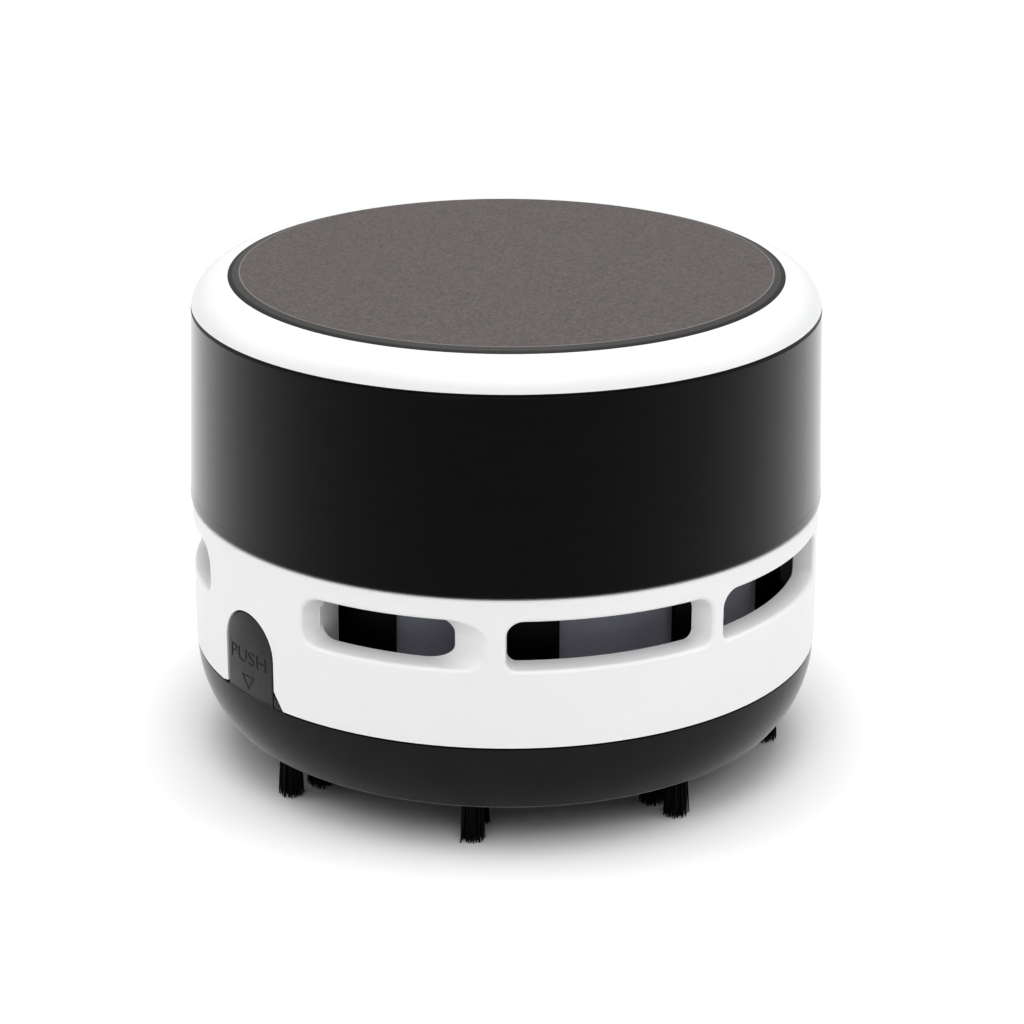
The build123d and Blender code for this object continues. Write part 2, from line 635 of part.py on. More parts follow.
def chassis_screws():
    """Four self-tapping screws, shown at the size of their cut holes."""
    seat = PLATE_Z[0] + SCREW_HEAD_SINK
    screws = []
    for x, y in SCREW_PLACES:
        shank = rod(SCREW_R - 0.15, seat, seat + SCREW_LENGTH, x, y)
        screws.append(shank + rod(SCREW_HEAD_R, seat - SCREW_HEAD, seat, x, y))
    return screws


# ---- Batteries and contacts
def cell(side):
    """AA cell, pushed by its spring against the plate at its positive end."""
    nub_r, nub = CELL_NUB
    tip = CRADLE_END_Y[0] - CONTACT_THICK - CONTACT_GAP
    can = along_y(CELL_R, tip - CELL_LENGTH, tip - nub)
    can = fillet(can.edges(), 0.5)
    can += along_y(nub_r, tip - nub - 0.5, tip)
    return Pos(side * CELL_X, 0, CELL_Z) * (can if side > 0 else Rot(0, 0, 180) * can)


def contact_plates():
    """Four plates against the cradles' end walls, the two at the back with solder tags."""
    half = CONTACT_SIZE / 2
    middle_z = CELL_Z + CONTACT_RISE
    plates = []
    for side in (-1, 1):
        x = side * CELL_X
        for end in (-1, 1):
            faces = sorted((end * (CRADLE_END_Y[0] - CONTACT_THICK), end * CRADLE_END_Y[0]))
            plate = block((x - half, x + half), faces, (middle_z - half, middle_z + half))
            if end > 0:
                plate += block(sorted(side * edge for edge in TAG_X), faces, (middle_z, TAG_TOP_Z))
            plates.append(plate)
    return plates


def contact_springs():
    """Conical springs at the negative ends, pressed short by the cells."""
    positive_y = CRADLE_END_Y[0] - CONTACT_THICK - CONTACT_GAP
    negative_y = CELL_LENGTH - positive_y
    room = CRADLE_END_Y[0] - CONTACT_THICK - negative_y
    height = room - 2 * SPRING_WIRE_R - 2 * CONTACT_GAP
    path = Helix(SPRING_PITCH, height, SPRING_TIP_R, cone_angle=SPRING_CONE_ANGLE)
    section = (path ^ 0) * Circle(SPRING_WIRE_R)
    coil = Pos(0, 0, SPRING_WIRE_R + CONTACT_GAP) * sweep(section, path, is_frenet=True)
    return [Pos(side * CELL_X, -side * negative_y, CELL_Z) * Rot(side * 90, 0, 0) * coil for side in (-1, 1)]


def contact_bridge():
    """Strip that joins the two cells at the front."""
    inner = CELL_X - CONTACT_SIZE / 2
    faces = (-CRADLE_END_Y[0], -CRADLE_END_Y[0] + CONTACT_THICK)
    return block((-inner, inner), faces, (CELL_Z + BRIDGE_RISE[0], CELL_Z + BRIDGE_RISE[1]))


# ---- Leads
def lead(points, bends):
    """Insulated wire along straight runs joined by arcs."""
    path = FilletPolyline(*points, radius=bends)
    return sweep((path ^ 0) * Circle(LEAD_R), path)


def lead_motor_switch():
    """From the right terminal over the motor and down to the back of the switch."""
    start_y = TERMINAL_SIZE[1] / 2
    switch_y = POCKET_FLOOR_Y - SWITCH_WALL - SWITCH_DEPTH
    return lead([(TERMINAL_X, start_y, LEAD_OVER_MOTOR_Z), (TERMINAL_X, 14.5, LEAD_OVER_MOTOR_Z), (5.4, 24.5, 49.6),
                 (5.4, switch_y, 49.6)], [LEAD_BEND_R, LEAD_BEND_R])


def lead_motor_cell():
    """From the left terminal over the motor to the left rear contact."""
    start_y = TERMINAL_SIZE[1] / 2
    tag_y, tag_z = LEAD_TAG
    return lead([(-TERMINAL_X, start_y, LEAD_OVER_MOTOR_Z), (-TERMINAL_X, 14.0, LEAD_OVER_MOTOR_Z),
                 (-9.0, tag_y, tag_z), (-TAG_X[0], tag_y, tag_z)], [LEAD_BEND_R, LEAD_TIGHT_BEND_R])


def lead_switch_cell():
    """From the side of the switch to the right rear contact."""
    tag_y, tag_z = LEAD_TAG
    return lead([(SWITCH_HALF[0], 35.8, 51.0), (11.0, 35.8, 51.0), (12.6, tag_y, tag_z), (TAG_X[0], tag_y, tag_z)],
                [LEAD_END_BEND_R, LEAD_END_BEND_R])


# ---- Drum and switch
def rims_of(part, radius):
    """Circular edges of a given radius."""
    return [e for e in part.edges().filter_by(GeomType.CIRCLE) if abs(e.radius - radius) < 0.01]


def around_switch(half_x, half_z, near_y, far_y):
    """Box centred on the switch, from one depth to another."""
    return block((-half_x, half_x), (near_y, far_y), (SWITCH_Z - half_z, SWITCH_Z + half_z))


def drum_sleeve():
    """Tapered drum with a lip at its foot and a pocket at the back for the switch."""
    outline = Polyline((LIP_R, RING_TOP_Z), (DRUM_LOW_R, RING_TOP_Z), (DRUM_TOP_R, DRUM_TOP_Z),
                       (DRUM_INNER_R, DRUM_TOP_Z), (DRUM_INNER_R, LIP_TOP_Z), (LIP_R, LIP_TOP_Z), close=True)
    drum = revolved(outline)
    drum = chamfer(rims_of(drum, DRUM_TOP_R), DRUM_TOP_CHAMFER)
    drum = fillet(rims_of(drum, DRUM_LOW_R), DRUM_FOOT_FILLET)
    half_x, half_z = POCKET_SIZE[0] / 2, POCKET_SIZE[1] / 2
    backing = around_switch(half_x + POCKET_BACKING, half_z + POCKET_BACKING, POCKET_FLOOR_Y - SWITCH_WALL, DRUM_LOW_R)
    drum += backing & rod(DRUM_INNER_R + 1.0, 0, TOP_Z)
    pocket = around_switch(half_x, half_z, POCKET_FLOOR_Y, DRUM_LOW_R + OVERCUT)
    pocket = fillet(pocket.edges().filter_by(Axis.Y), POCKET_CORNER)
    slot_x = (STEM_SIZE[0] + SWITCH_TRAVEL) / 2 + STEM_CLEARANCE[0]
    slot_z = STEM_SIZE[1] / 2 + STEM_CLEARANCE[1]
    return drum - pocket - around_switch(slot_x, slot_z, POCKET_FLOOR_Y - 4, DRUM_LOW_R)


def switch_knob():
    """Thumb slide, drawn in its off place, with grip ribs and a stem through the drum."""
    top_r = DRUM_LOW_R - 0.6
    groove = GRIP_GROOVE[0] / 2
    pad = around_switch(PAD_SIZE[0] / 2, PAD_SIZE[1] / 2, POCKET_FLOOR_Y + 0.1, DRUM_LOW_R)
    pad = fillet(pad.edges().filter_by(Axis.Y), PAD_CORNER)
    pad = Pos(-SWITCH_TRAVEL / 2, 0, 0) * pad & rod(top_r, 0, TOP_Z)
    for i in range(-2, 3):
        x = i * GRIP_PITCH - SWITCH_TRAVEL / 2
        pad -= block((x - groove, x + groove), (top_r - GRIP_GROOVE[1], DRUM_LOW_R), (0, TOP_Z))
    stem = around_switch(STEM_SIZE[0] / 2, STEM_SIZE[1] / 2, POCKET_FLOOR_Y - STEM_REACH, POCKET_FLOOR_Y + 0.6)
    return pad + Pos(-SWITCH_TRAVEL / 2, 0, 0) * stem


def switch_mouth(near_y, far_y):
    """Room in which the lever travels."""
    return around_switch((STEM_SIZE[0] + SWITCH_TRAVEL) / 2 + SWITCH_MOUTH[0], SWITCH_MOUTH[1], near_y, far_y)


def switch_body():
    """Slide switch standing behind the slot, open where its lever travels."""
    face = POCKET_FLOOR_Y - SWITCH_WALL
    body = around_switch(*SWITCH_HALF, face - SWITCH_DEPTH, face - FRAME_THICK)
    return body - switch_mouth(face - 2.6, face)


def switch_frame():
    """Sheet-metal frame that holds the switch to the drum."""
    face = POCKET_FLOOR_Y - SWITCH_WALL
    frame = around_switch(FRAME_HALF_X, SWITCH_HALF[1], face - FRAME_THICK, face)
    return frame - switch_mouth(face - 3, face + OVERCUT)


# ---- Cap
def cap_shell():
    """Rounded shoulder with a recess for the disc, a spigot with snap beads, and ribs over the cells."""
    low = DRUM_TOP_Z + CAP_GAP
    ceiling = DISC_UNDER_Z - CAP_WALL
    edge_r = DRUM_TOP_R - CAP_INSET
    recess_r = DISC_R + DISC_GAP
    inner, outer = CAP_SPIGOT_R
    shoulder = ThreePointArc((edge_r, low), CAP_CROWN, (CAP_SHOULDER_R, CAP_SHOULDER_Z))
    top = Polyline((CAP_SHOULDER_R, CAP_SHOULDER_Z), (recess_r, CAP_SHOULDER_Z), (recess_r, DISC_UNDER_Z),
                   (0, DISC_UNDER_Z), (0, ceiling), (inner, ceiling), (inner, low - CAP_SPIGOT_DROP),
                   (outer, low - CAP_SPIGOT_DROP), (outer, low), (edge_r, low))
    cap = revolved(shoulder, top)
    count, span = CAP_BEADS
    bead = tube(outer - 0.2, CAP_BEAD_R, *CAP_BEAD_Z) & wedge(inner, CAP_BEAD_R, -span / 2, span / 2, 0, TOP_Z)
    for i in range(count):
        cap += Rot(0, 0, 360 / count * (i + 0.5)) * bead
    for x in (-CELL_X, CELL_X):
        for y in CAP_RIB_Y:
            cap += block((x - CAP_RIB[0], x + CAP_RIB[0]), (y - CAP_RIB[1], y + CAP_RIB[1]),
                         (CELL_Z + CELL_R + CAP_RIB_GAP, ceiling + 0.2))
    return cap


def top_disc():
    disc = rod(DISC_R, DISC_UNDER_Z, TOP_Z)
    return chamfer(disc.edges().group_by(Axis.Z)[-1], DISC_BEVEL[0], DISC_BEVEL[1])


# ---- Write the nodes
front_tab, rear_tab = at_both_tabs(release_tab())
save("base_shell", base_shell())
save("brush_tufts", brush_tufts())
save("release_tab_front", front_tab)
save("release_tab_rear", rear_tab)
save("filter_frame", filter_frame())
save("filter_mesh", filter_mesh())
save("exhaust_ring", exhaust_ring())
save("fan_plate", fan_plate())
save("impeller", impeller())
save("motor_shaft", motor_shaft())
save("motor_can", motor_can())
save("motor_endbell", motor_endbell())
save("motor_terminals", motor_terminals())
save("motor_bushes", motor_bushes())
save("motor_screws", motor_screws())
save("chassis", chassis())
save("chassis_screws", chassis_screws())
save("battery_left", cell(-1))
save("battery_right", cell(1))
save("contact_plates", contact_plates())
save("contact_springs", contact_springs())
save("contact_bridge", contact_bridge())
save("lead_motor_switch", lead_motor_switch())
save("lead_motor_cell", lead_motor_cell())
save("lead_switch_cell", lead_switch_cell())
save("drum_sleeve", drum_sleeve())
save("switch_knob", switch_knob())
save("switch_body", switch_body())
save("switch_frame", switch_frame())
save("cap_shell", cap_shell())
save("top_disc", top_disc())
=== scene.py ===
"""Finish of a small round desk vacuum, built around its CAD frame.

The body is three stacked shells: a black dust tray standing on brush tufts, a white ring with the
air outlets, and a black drum under a white lift-off cap. Lengths in the modelling code are
millimetres, and each finished piece is scaled to metres once, when its place is applied.
"""

import math
import random

import bmesh
import bpy
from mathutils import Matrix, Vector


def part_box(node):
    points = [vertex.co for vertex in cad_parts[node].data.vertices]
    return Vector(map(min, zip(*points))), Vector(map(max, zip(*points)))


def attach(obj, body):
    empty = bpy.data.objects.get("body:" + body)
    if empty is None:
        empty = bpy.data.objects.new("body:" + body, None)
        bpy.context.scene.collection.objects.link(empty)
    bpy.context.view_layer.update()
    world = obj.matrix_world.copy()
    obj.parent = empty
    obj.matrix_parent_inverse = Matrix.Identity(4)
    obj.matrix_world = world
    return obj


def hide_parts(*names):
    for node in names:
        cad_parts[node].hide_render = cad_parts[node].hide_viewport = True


bl_info = {
    "name": "Desk Vacuum",
    "version": (1, 0, 0),
    "blender": (4, 5, 0),
    "location": "View3D > Sidebar > Desk Vacuum",
    "description": "Builds the finish of a small round desk vacuum around its CAD frame",
    "category": "Object",
}

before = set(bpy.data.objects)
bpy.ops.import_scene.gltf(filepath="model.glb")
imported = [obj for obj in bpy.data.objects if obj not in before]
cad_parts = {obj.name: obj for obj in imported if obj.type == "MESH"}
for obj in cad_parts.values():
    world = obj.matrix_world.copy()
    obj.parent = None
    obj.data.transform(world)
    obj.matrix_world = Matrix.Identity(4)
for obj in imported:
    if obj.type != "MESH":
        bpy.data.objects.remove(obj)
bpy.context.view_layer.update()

MM = 0.001


# ---------------------------------------------------------------- settings
class VacuumColours(bpy.types.PropertyGroup):
    """Base colours of the finishes."""

    white_plastic: bpy.props.FloatVectorProperty(
        name="White plastic", description="Ring with the outlets", subtype="COLOR",
        default=(0.722, 0.724, 0.726), min=0, max=1)
    # Painted shade: the cap is the ring's white plastic given a darker colour, because its top
    # takes the most light.
    cap_white_painted_shade: bpy.props.FloatVectorProperty(
        name="Cap plastic", description="Cap round the disc", subtype="COLOR",
        default=(0.675, 0.677, 0.68), min=0, max=1)
    black_plastic: bpy.props.FloatVectorProperty(
        name="Black plastic", description="Tray and switch knob", subtype="COLOR",
        default=(0.008, 0.0075, 0.008), min=0, max=1)
    tab_plastic: bpy.props.FloatVectorProperty(
        name="Tab plastic", description="Release tabs, a shade lighter than the tray",
        subtype="COLOR", default=(0.03, 0.029, 0.029), min=0, max=1)
    drum_film: bpy.props.FloatVectorProperty(
        name="Drum", description="Soft black finish of the drum", subtype="COLOR",
        default=(0.002, 0.0018, 0.002), min=0, max=1)
    disc_grey: bpy.props.FloatVectorProperty(
        name="Top disc", description="Warm grey of the disc in the cap", subtype="COLOR",
        default=(0.103, 0.0925, 0.0885), min=0, max=1)
    mesh_grey: bpy.props.FloatVectorProperty(
        name="Filter mesh", description="Threads of the filter mesh", subtype="COLOR",
        default=(0.36, 0.366, 0.43), min=0, max=1)
    cell_wrap: bpy.props.FloatVectorProperty(
        name="Cell wrap", description="Shrink wrap of the two AA cells", subtype="COLOR",
        default=(0.03, 0.10, 0.07), min=0, max=1)


class VacuumBrushes(bpy.types.PropertyGroup):
    """Bristles of the tufts the body stands on."""

    strands: bpy.props.IntProperty(
        name="Strands", description="Bristles in one tuft", default=118, min=20, max=200)
    thickness: bpy.props.FloatProperty(
        name="Thickness", description="Diameter of a bristle at its root", unit="LENGTH",
        default=0.2 * MM, min=0.05 * MM, max=0.5 * MM)
    seed: bpy.props.IntProperty(
        name="Seed", description="Start of the random draws for the lean of each bristle",
        default=7, min=0)


class VacuumTabs(bpy.types.PropertyGroup):
    """Release tabs and the legend pressed into their faces."""

    word: bpy.props.StringProperty(
        name="Word", description="What the tab tells the hand to do", default="PUSH")
    capitals: bpy.props.FloatProperty(
        name="Capitals", description="Height of the word's capitals", unit="LENGTH",
        default=1.9 * MM, min=0.5 * MM, max=4 * MM)
    width: bpy.props.FloatProperty(
        name="Width", description="Width of the whole word", unit="LENGTH",
        default=8.1 * MM, min=2 * MM, max=9 * MM)
    depth: bpy.props.FloatProperty(
        name="Depth", description="How deep the legend is pressed in", unit="LENGTH",
        default=0.1 * MM, min=0.02 * MM, max=0.5 * MM)


class VacuumStudio(bpy.types.PropertyGroup):
    """Camera and lights."""

    lens: bpy.props.FloatProperty(
        name="Lens", description="Focal length in millimetres on a 36 mm sensor",
        default=113.295, min=20, max=300)
    distance: bpy.props.FloatProperty(
        name="Distance", description="Camera to the point it looks at", unit="LENGTH",
        default=0.4374, min=0.1, max=5)
    pitch: bpy.props.FloatProperty(
        name="Pitch", description="How far the camera looks down", subtype="ANGLE",
        default=math.radians(20.2944), min=0, max=math.pi / 2)
    roll: bpy.props.FloatProperty(
        name="Roll", description="Turn of the camera about its own view", subtype="ANGLE",
        default=math.radians(0.245), min=-0.2, max=0.2)
    aim: bpy.props.FloatVectorProperty(
        name="Aim", description="Point that the camera looks at", subtype="TRANSLATION",
        default=(0.838 * MM, 0, 31.604 * MM))
    room: bpy.props.FloatProperty(
        name="Room", description="Brightness of the white room as a light",
        default=0.56, min=0, max=5)
    contrast: bpy.props.FloatProperty(
        name="Contrast", description="Gamma of the view, below 1 for deeper blacks",
        default=0.82, min=0.3, max=2)


# ---------------------------------------------------------------- node helpers
def new_finish(name, colour, roughness, **sockets):
    """A material with constants on its shader's own sockets, with its node tree and shader."""
    material = bpy.data.materials.new(name)
    material.use_nodes = True
    tree = material.node_tree
    shader = tree.nodes["Principled BSDF"]
    shader.inputs["Base Color"].default_value = (*colour, 1)
    shader.inputs["Roughness"].default_value = roughness
    for socket, value in sockets.items():
        shader.inputs[socket.replace("_", " ")].default_value = value
    return material, tree, shader


def noise(tree, grain, detail=2.0, stretch=(1, 1, 1)):
    """Noise on object coordinates whose features are about one grain across, in millimetres."""
    place = tree.nodes.new("ShaderNodeTexCoord")
    mapping = tree.nodes.new("ShaderNodeMapping")
    mapping.inputs["Scale"].default_value = stretch
    made = tree.nodes.new("ShaderNodeTexNoise")
    made.inputs["Scale"].default_value = 1 / (grain * MM)
    made.inputs["Detail"].default_value = detail
    tree.links.new(place.outputs["Object"], mapping.inputs["Vector"])
    tree.links.new(mapping.outputs["Vector"], made.inputs["Vector"])
    return made.outputs["Fac"]


def spread(tree, source, low, high, width=0.5):
    """Maps the middle of a noise, a stretch as wide as width, to a range of values."""
    ranged = tree.nodes.new("ShaderNodeMapRange")
    ranged.inputs["From Min"].default_value = (1 - width) / 2
    ranged.inputs["From Max"].default_value = (1 + width) / 2
    ranged.inputs["To Min"].default_value = low
    ranged.inputs["To Max"].default_value = high
    tree.links.new(source, ranged.inputs["Value"])
    return ranged.outputs["Result"]


def tinted(tree, shader, source, first, second):
    """Base colour that runs between two colours by a factor."""
    tree.links.new(blended(tree, source, first, second), shader.inputs["Base Color"])


def blended(tree, factor, first, second):
    """Colour between two, each a socket or a colour."""
    mix = tree.nodes.new("ShaderNodeMix")
    mix.data_type = "RGBA"
    tree.links.new(factor, mix.inputs["Factor"])
    for name, value in (("A", first), ("B", second)):
        if isinstance(value, bpy.types.NodeSocket):
            tree.links.new(value, mix.inputs[name])
        else:
            mix.inputs[name].default_value = (*value, 1)
    return mix.outputs["Result"]


def pressed(tree, shader, source, depth):
    """Bump of a height source, with its depth in millimetres."""
    bump = tree.nodes.new("ShaderNodeBump")
    bump.inputs["Distance"].default_value = depth * MM
    bump.inputs["Strength"].default_value = 1
    tree.links.new(source, bump.inputs["Height"])
    tree.links.new(bump.outputs["Normal"], shader.inputs["Normal"])


def maths(tree, operation, *values):
    """A Math node's result. Each value is a socket or a number."""
    made = tree.nodes.new("ShaderNodeMath")
    made.operation = operation
    for socket, value in zip(made.inputs, values):
        if isinstance(value, bpy.types.NodeSocket):
            tree.links.new(value, socket)
        else:
            socket.default_value = value
    return made.outputs["Value"]


def length_of(tree, first, second):
    """Length of a vector in a plane, from its two parts."""
    squares = [maths(tree, "MULTIPLY", part, part) for part in (first, second)]
    return maths(tree, "SQRT", maths(tree, "ADD", *squares))


def place_of(tree):
    """X, Y and Z of the object coordinates."""
    place = tree.nodes.new("ShaderNodeTexCoord")
    parts = tree.nodes.new("ShaderNodeSeparateXYZ")
    tree.links.new(place.outputs["Object"], parts.inputs["Vector"])
    return parts.outputs


def scaled_colour(colour, factor):
    """A colour made lighter or darker."""
    return tuple(min(1, channel * factor) for channel in colour)


# ---------------------------------------------------------------- finishes
# Lengths are in millimetres. Shades scale a base colour.
FRAME_COLOUR = (0.002, 0.002, 0.0022)
# Painted shadow: near-black colour of the hoop that fills the gap under the ring.
GAP_SHADOW_COLOUR = (0.001, 0.001, 0.001)
FAN_COLOUR = (0.62, 0.63, 0.64)
RED_SLEEVE = (0.45, 0.02, 0.015)
BLACK_SLEEVE = (0.01, 0.01, 0.011)
BRISTLE_COLOUR = (0.0015, 0.0015, 0.0018)
BRISTLE_DARK = (0.0006, 0.0006, 0.0007)
BRISTLE_LIGHT = (0.004, 0.004, 0.0045)
STEEL_COLOUR = (0.55, 0.56, 0.58)
NICKEL_COLOUR = (0.66, 0.64, 0.6)
BRASS_COLOUR = (0.72, 0.52, 0.24)


def moulded(name, colour, roughness, depth, grain=0.3, rough=None, shades=None, mottle=None,
            detail=3, stretch=(1, 1, 1), **sockets):
    """Moulded plastic: a mottle between two shades, and a fine grain in its relief.

    Where the range rough is given, the grain moves the roughness over it as well.
    """
    material, tree, shader = new_finish(name, colour, roughness, **sockets)
    if shades:
        tint = spread(tree, noise(tree, mottle, detail, stretch), 0, 1)
        tinted(tree, shader, tint, *(scaled_colour(colour, shade) for shade in shades))
    fine = noise(tree, grain)
    if rough:
        tree.links.new(spread(tree, fine, *rough), shader.inputs["Roughness"])
    pressed(tree, shader, fine, depth)
    return material


def white_plastic(name, colour):
    """Smooth white of the ring and the cap."""
    return moulded(
        name, colour, roughness=0.36, rough=(0.33, 0.41), grain=0.25, depth=0.004,
        shades=(0.985, 1), mottle=9.0, IOR=1.45)


def black_plastic(name, colour):
    """Satin black of the tray, the tabs and the switch knob."""
    return moulded(
        name, colour, roughness=0.42, rough=(0.36, 0.5), grain=0.2, depth=0.008,
        shades=(0.8, 1.25), mottle=6.0, IOR=1.3, Sheen_Weight=0.58, Sheen_Roughness=0.3)


def drum_film():
    """Soft black of the drum, with faint streaks that run round it."""
    return moulded(
        "drum_film", bpy.context.scene.vacuum_colours.drum_film, roughness=0.34,
        rough=(0.3, 0.4), grain=0.16, depth=0.004, shades=(0.6, 1.5), mottle=1.2,
        stretch=(0.25, 0.25, 1), IOR=1.13, Sheen_Weight=0.84, Sheen_Roughness=0.39)


def frame_plastic():
    """Plain black of the filter cage and the chassis."""
    return moulded(
        "frame_plastic", FRAME_COLOUR, roughness=0.5, rough=(0.42, 0.58), depth=0.01, IOR=1.2)


def gap_shade():
    """Painted shadow: near-black matt finish of the hoop put in the gap between the tray and the
    ring.
    """
    return moulded("gap_shade", GAP_SHADOW_COLOUR, roughness=0.7, depth=0.01, IOR=1.1)


def impeller_plastic():
    """Pale plastic of the fan."""
    return moulded("impeller_plastic", FAN_COLOUR, roughness=0.45, depth=0.008)


def lead_sleeve(name, colour):
    """Soft plastic insulation."""
    return moulded(
        name, colour, roughness=0.45, depth=0.01, shades=(0.85, 1.15), mottle=1.5, detail=2)


DISC_FLAT_R = 35.2
DISC_EDGE_R = 36.15
DISC_HIGHLIGHT_WIDTH = 0.09
DISC_FLECK = 0.42
DISC_GRAIN = 0.2
DISC_DEPTH = 0.03
DISC_ROUGH = (0.52, 0.72)
DISC_RIM_GLOSS = 0.2
# Painted shade: the rim is coloured darker for the shade of its bevel; its lower roughness is real
# gloss.
DISC_RIM_PAINTED_SHADE = (0.052, 0.053, 0.052)
DISC_SHADES = (0.72, 1.3)
# Painted highlight: the bright line where the rim meets the face.
DISC_PAINTED_HIGHLIGHT = 1.9
# Painted shade: the darker band outside DISC_EDGE_R.
DISC_EDGE_PAINTED_SHADE = 0.18


def disc_grain():
    """Grained face inside a smoother rim coloured darker as painted shade of its bevel, with a
    painted highlight line where the two meet and painted shade on the outer edge.
    """
    colour = bpy.context.scene.vacuum_colours.disc_grey
    material, tree, shader = new_finish("disc_grain", colour, roughness=0.62, IOR=1.4)
    x, y, _ = place_of(tree)
    from_axis = length_of(tree, x, y)
    fleck = spread(tree, noise(tree, DISC_FLECK, 4), 0, 1, width=0.4)
    face = blended(tree, fleck, *(scaled_colour(colour, shade) for shade in DISC_SHADES))
    # Painted shade: the rim is coloured darker, standing in for the shade of its bevel.
    rim = maths(tree, "GREATER_THAN", from_axis, DISC_FLAT_R * MM)
    face = blended(tree, rim, face, DISC_RIM_PAINTED_SHADE)
    # Painted highlight: a bright line round the rim's inner edge.
    line = maths(tree, "COMPARE", from_axis, DISC_FLAT_R * MM, DISC_HIGHLIGHT_WIDTH * MM)
    face = blended(tree, line, face, scaled_colour(colour, DISC_PAINTED_HIGHLIGHT))
    # Painted shade: the outer edge darker still.
    edge = maths(tree, "GREATER_THAN", from_axis, DISC_EDGE_R * MM)
    tinted(tree, shader, edge, face, scaled_colour(colour, DISC_EDGE_PAINTED_SHADE))
    fine = noise(tree, DISC_GRAIN, 3)
    gloss = maths(tree, "MULTIPLY", rim, DISC_RIM_GLOSS)
    rough = maths(tree, "SUBTRACT", spread(tree, fine, *DISC_ROUGH), gloss)
    tree.links.new(rough, shader.inputs["Roughness"])
    flat = maths(tree, "SUBTRACT", 1.0, rim)
    pressed(tree, shader, maths(tree, "MULTIPLY", fine, flat), DISC_DEPTH)
    return material


THREAD_PITCH = 0.28
THREAD_DEPTH = 0.05
# Painted light: the thread colour runs from the darker shade in the dips to the lighter one on the
# crowns.
THREAD_PAINTED_SHADES = (0.25, 1.15)


def filter_weave():
    """Plain weave laid on the bias round the cage: each thread goes over one and under the next,
    coloured darker in its dips as painted shade and lighter on its crowns as painted highlight.
    """
    colour = bpy.context.scene.vacuum_colours.mesh_grey
    material, tree, shader = new_finish(
        "filter_weave", colour, roughness=0.6, IOR=1.3, Sheen_Weight=0.9, Sheen_Roughness=0.4)
    x, y, z = place_of(tree)
    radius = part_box("filter_mesh")[1].x
    around = maths(tree, "MULTIPLY", maths(tree, "ARCTAN2", y, x), radius)
    step = math.sqrt(2) * THREAD_PITCH * MM
    warp = maths(tree, "DIVIDE", maths(tree, "ADD", around, z), step)
    weft = maths(tree, "DIVIDE", maths(tree, "SUBTRACT", around, z), step)
    crowns = [
        maths(tree, "ABSOLUTE", maths(tree, "SINE", maths(tree, "MULTIPLY", way, math.pi)))
        for way in (warp, weft)]
    cell = maths(tree, "ADD", maths(tree, "FLOOR", warp), maths(tree, "FLOOR", weft))
    warp_over = maths(tree, "FLOORED_MODULO", cell, 2.0)
    weft_over = maths(tree, "SUBTRACT", 1.0, warp_over)
    warp_shown = maths(tree, "MULTIPLY", crowns[0], warp_over)
    weft_shown = maths(tree, "MULTIPLY", crowns[1], weft_over)
    relief = maths(tree, "ADD", warp_shown, weft_shown)
    # Painted shade and painted highlight: the colour follows the relief, darker in the dips and
    # gaps, lighter on the crowns.
    tinted(tree, shader, relief, *(scaled_colour(colour, shade) for shade in THREAD_PAINTED_SHADES))
    pressed(tree, shader, relief, THREAD_DEPTH)
    return material


def bristle_nylon():
    """Black nylon, some of its strands a little lighter."""
    material, tree, shader = new_finish(
        "bristle_nylon", BRISTLE_COLOUR, roughness=0.42, IOR=1.22)
    tint = spread(tree, noise(tree, grain=0.4), 0, 1)
    tinted(tree, shader, tint, BRISTLE_DARK, BRISTLE_LIGHT)
    return material


def plated(name, colour, roughness):
    """Sheet or turned metal with a faint drawn grain."""
    material, tree, shader = new_finish(name, colour, roughness, Metallic=1.0)
    drawn = noise(tree, grain=0.35, detail=3, stretch=(1, 1, 0.15))
    rough = spread(tree, drawn, low=roughness * 0.8, high=roughness * 1.25)
    tree.links.new(rough, shader.inputs["Roughness"])
    pressed(tree, shader, drawn, depth=0.004)
    return material


WRAP_TURN_R = 5.9
WRAP_BAND_Y = 10.0
WRAP_BAND_COLOUR = (0.55, 0.33, 0.10)


def cell_wrap(name, side):
    """Printed wrap round a cell, turned in over its ends, with bare steel inside the turn."""
    colour = bpy.context.scene.vacuum_colours.cell_wrap
    low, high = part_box(f"battery_{name}")
    material, tree, shader = new_finish(f"cell_{name}", colour, roughness=0.3)
    x, y, z = place_of(tree)
    off_x = maths(tree, "SUBTRACT", x, (low.x + high.x) / 2)
    off_z = maths(tree, "SUBTRACT", z, (low.z + high.z) / 2)
    wrapped = maths(tree, "GREATER_THAN", length_of(tree, off_x, off_z), WRAP_TURN_R * MM)
    along = maths(tree, "MULTIPLY", y, side)
    banded = maths(tree, "GREATER_THAN", along, WRAP_BAND_Y * MM)
    printed = blended(tree, banded, colour, WRAP_BAND_COLOUR)
    tinted(tree, shader, wrapped, STEEL_COLOUR, printed)
    tree.links.new(maths(tree, "SUBTRACT", 1.0, wrapped), shader.inputs["Metallic"])
    pressed(tree, shader, noise(tree, grain=2.0, detail=3), depth=0.02)
    return material


def dress(node, material):
    """Gives a CAD node that stays in view its finish."""
    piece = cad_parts[node]
    piece.material_slots[0].material = material


# ---------------------------------------------------------------- modelling helpers
NEAR = 0.001
BEVEL_ABOVE = math.radians(50)
SMOOTH_BELOW = math.radians(35)


def deselect():
    """Nothing selected, nothing in edit mode."""
    if bpy.context.mode != "OBJECT":
        bpy.ops.object.mode_set(mode="OBJECT")
    bpy.ops.object.select_all(action="DESELECT")


def alone(piece):
    """Only this piece selected and active."""
    deselect()
    piece.select_set(True)
    bpy.context.view_layer.objects.active = piece


def edit(piece):
    """This piece in edit mode, with nothing selected."""
    alone(piece)
    bpy.ops.object.mode_set(mode="EDIT")
    bpy.ops.mesh.select_all(action="DESELECT")


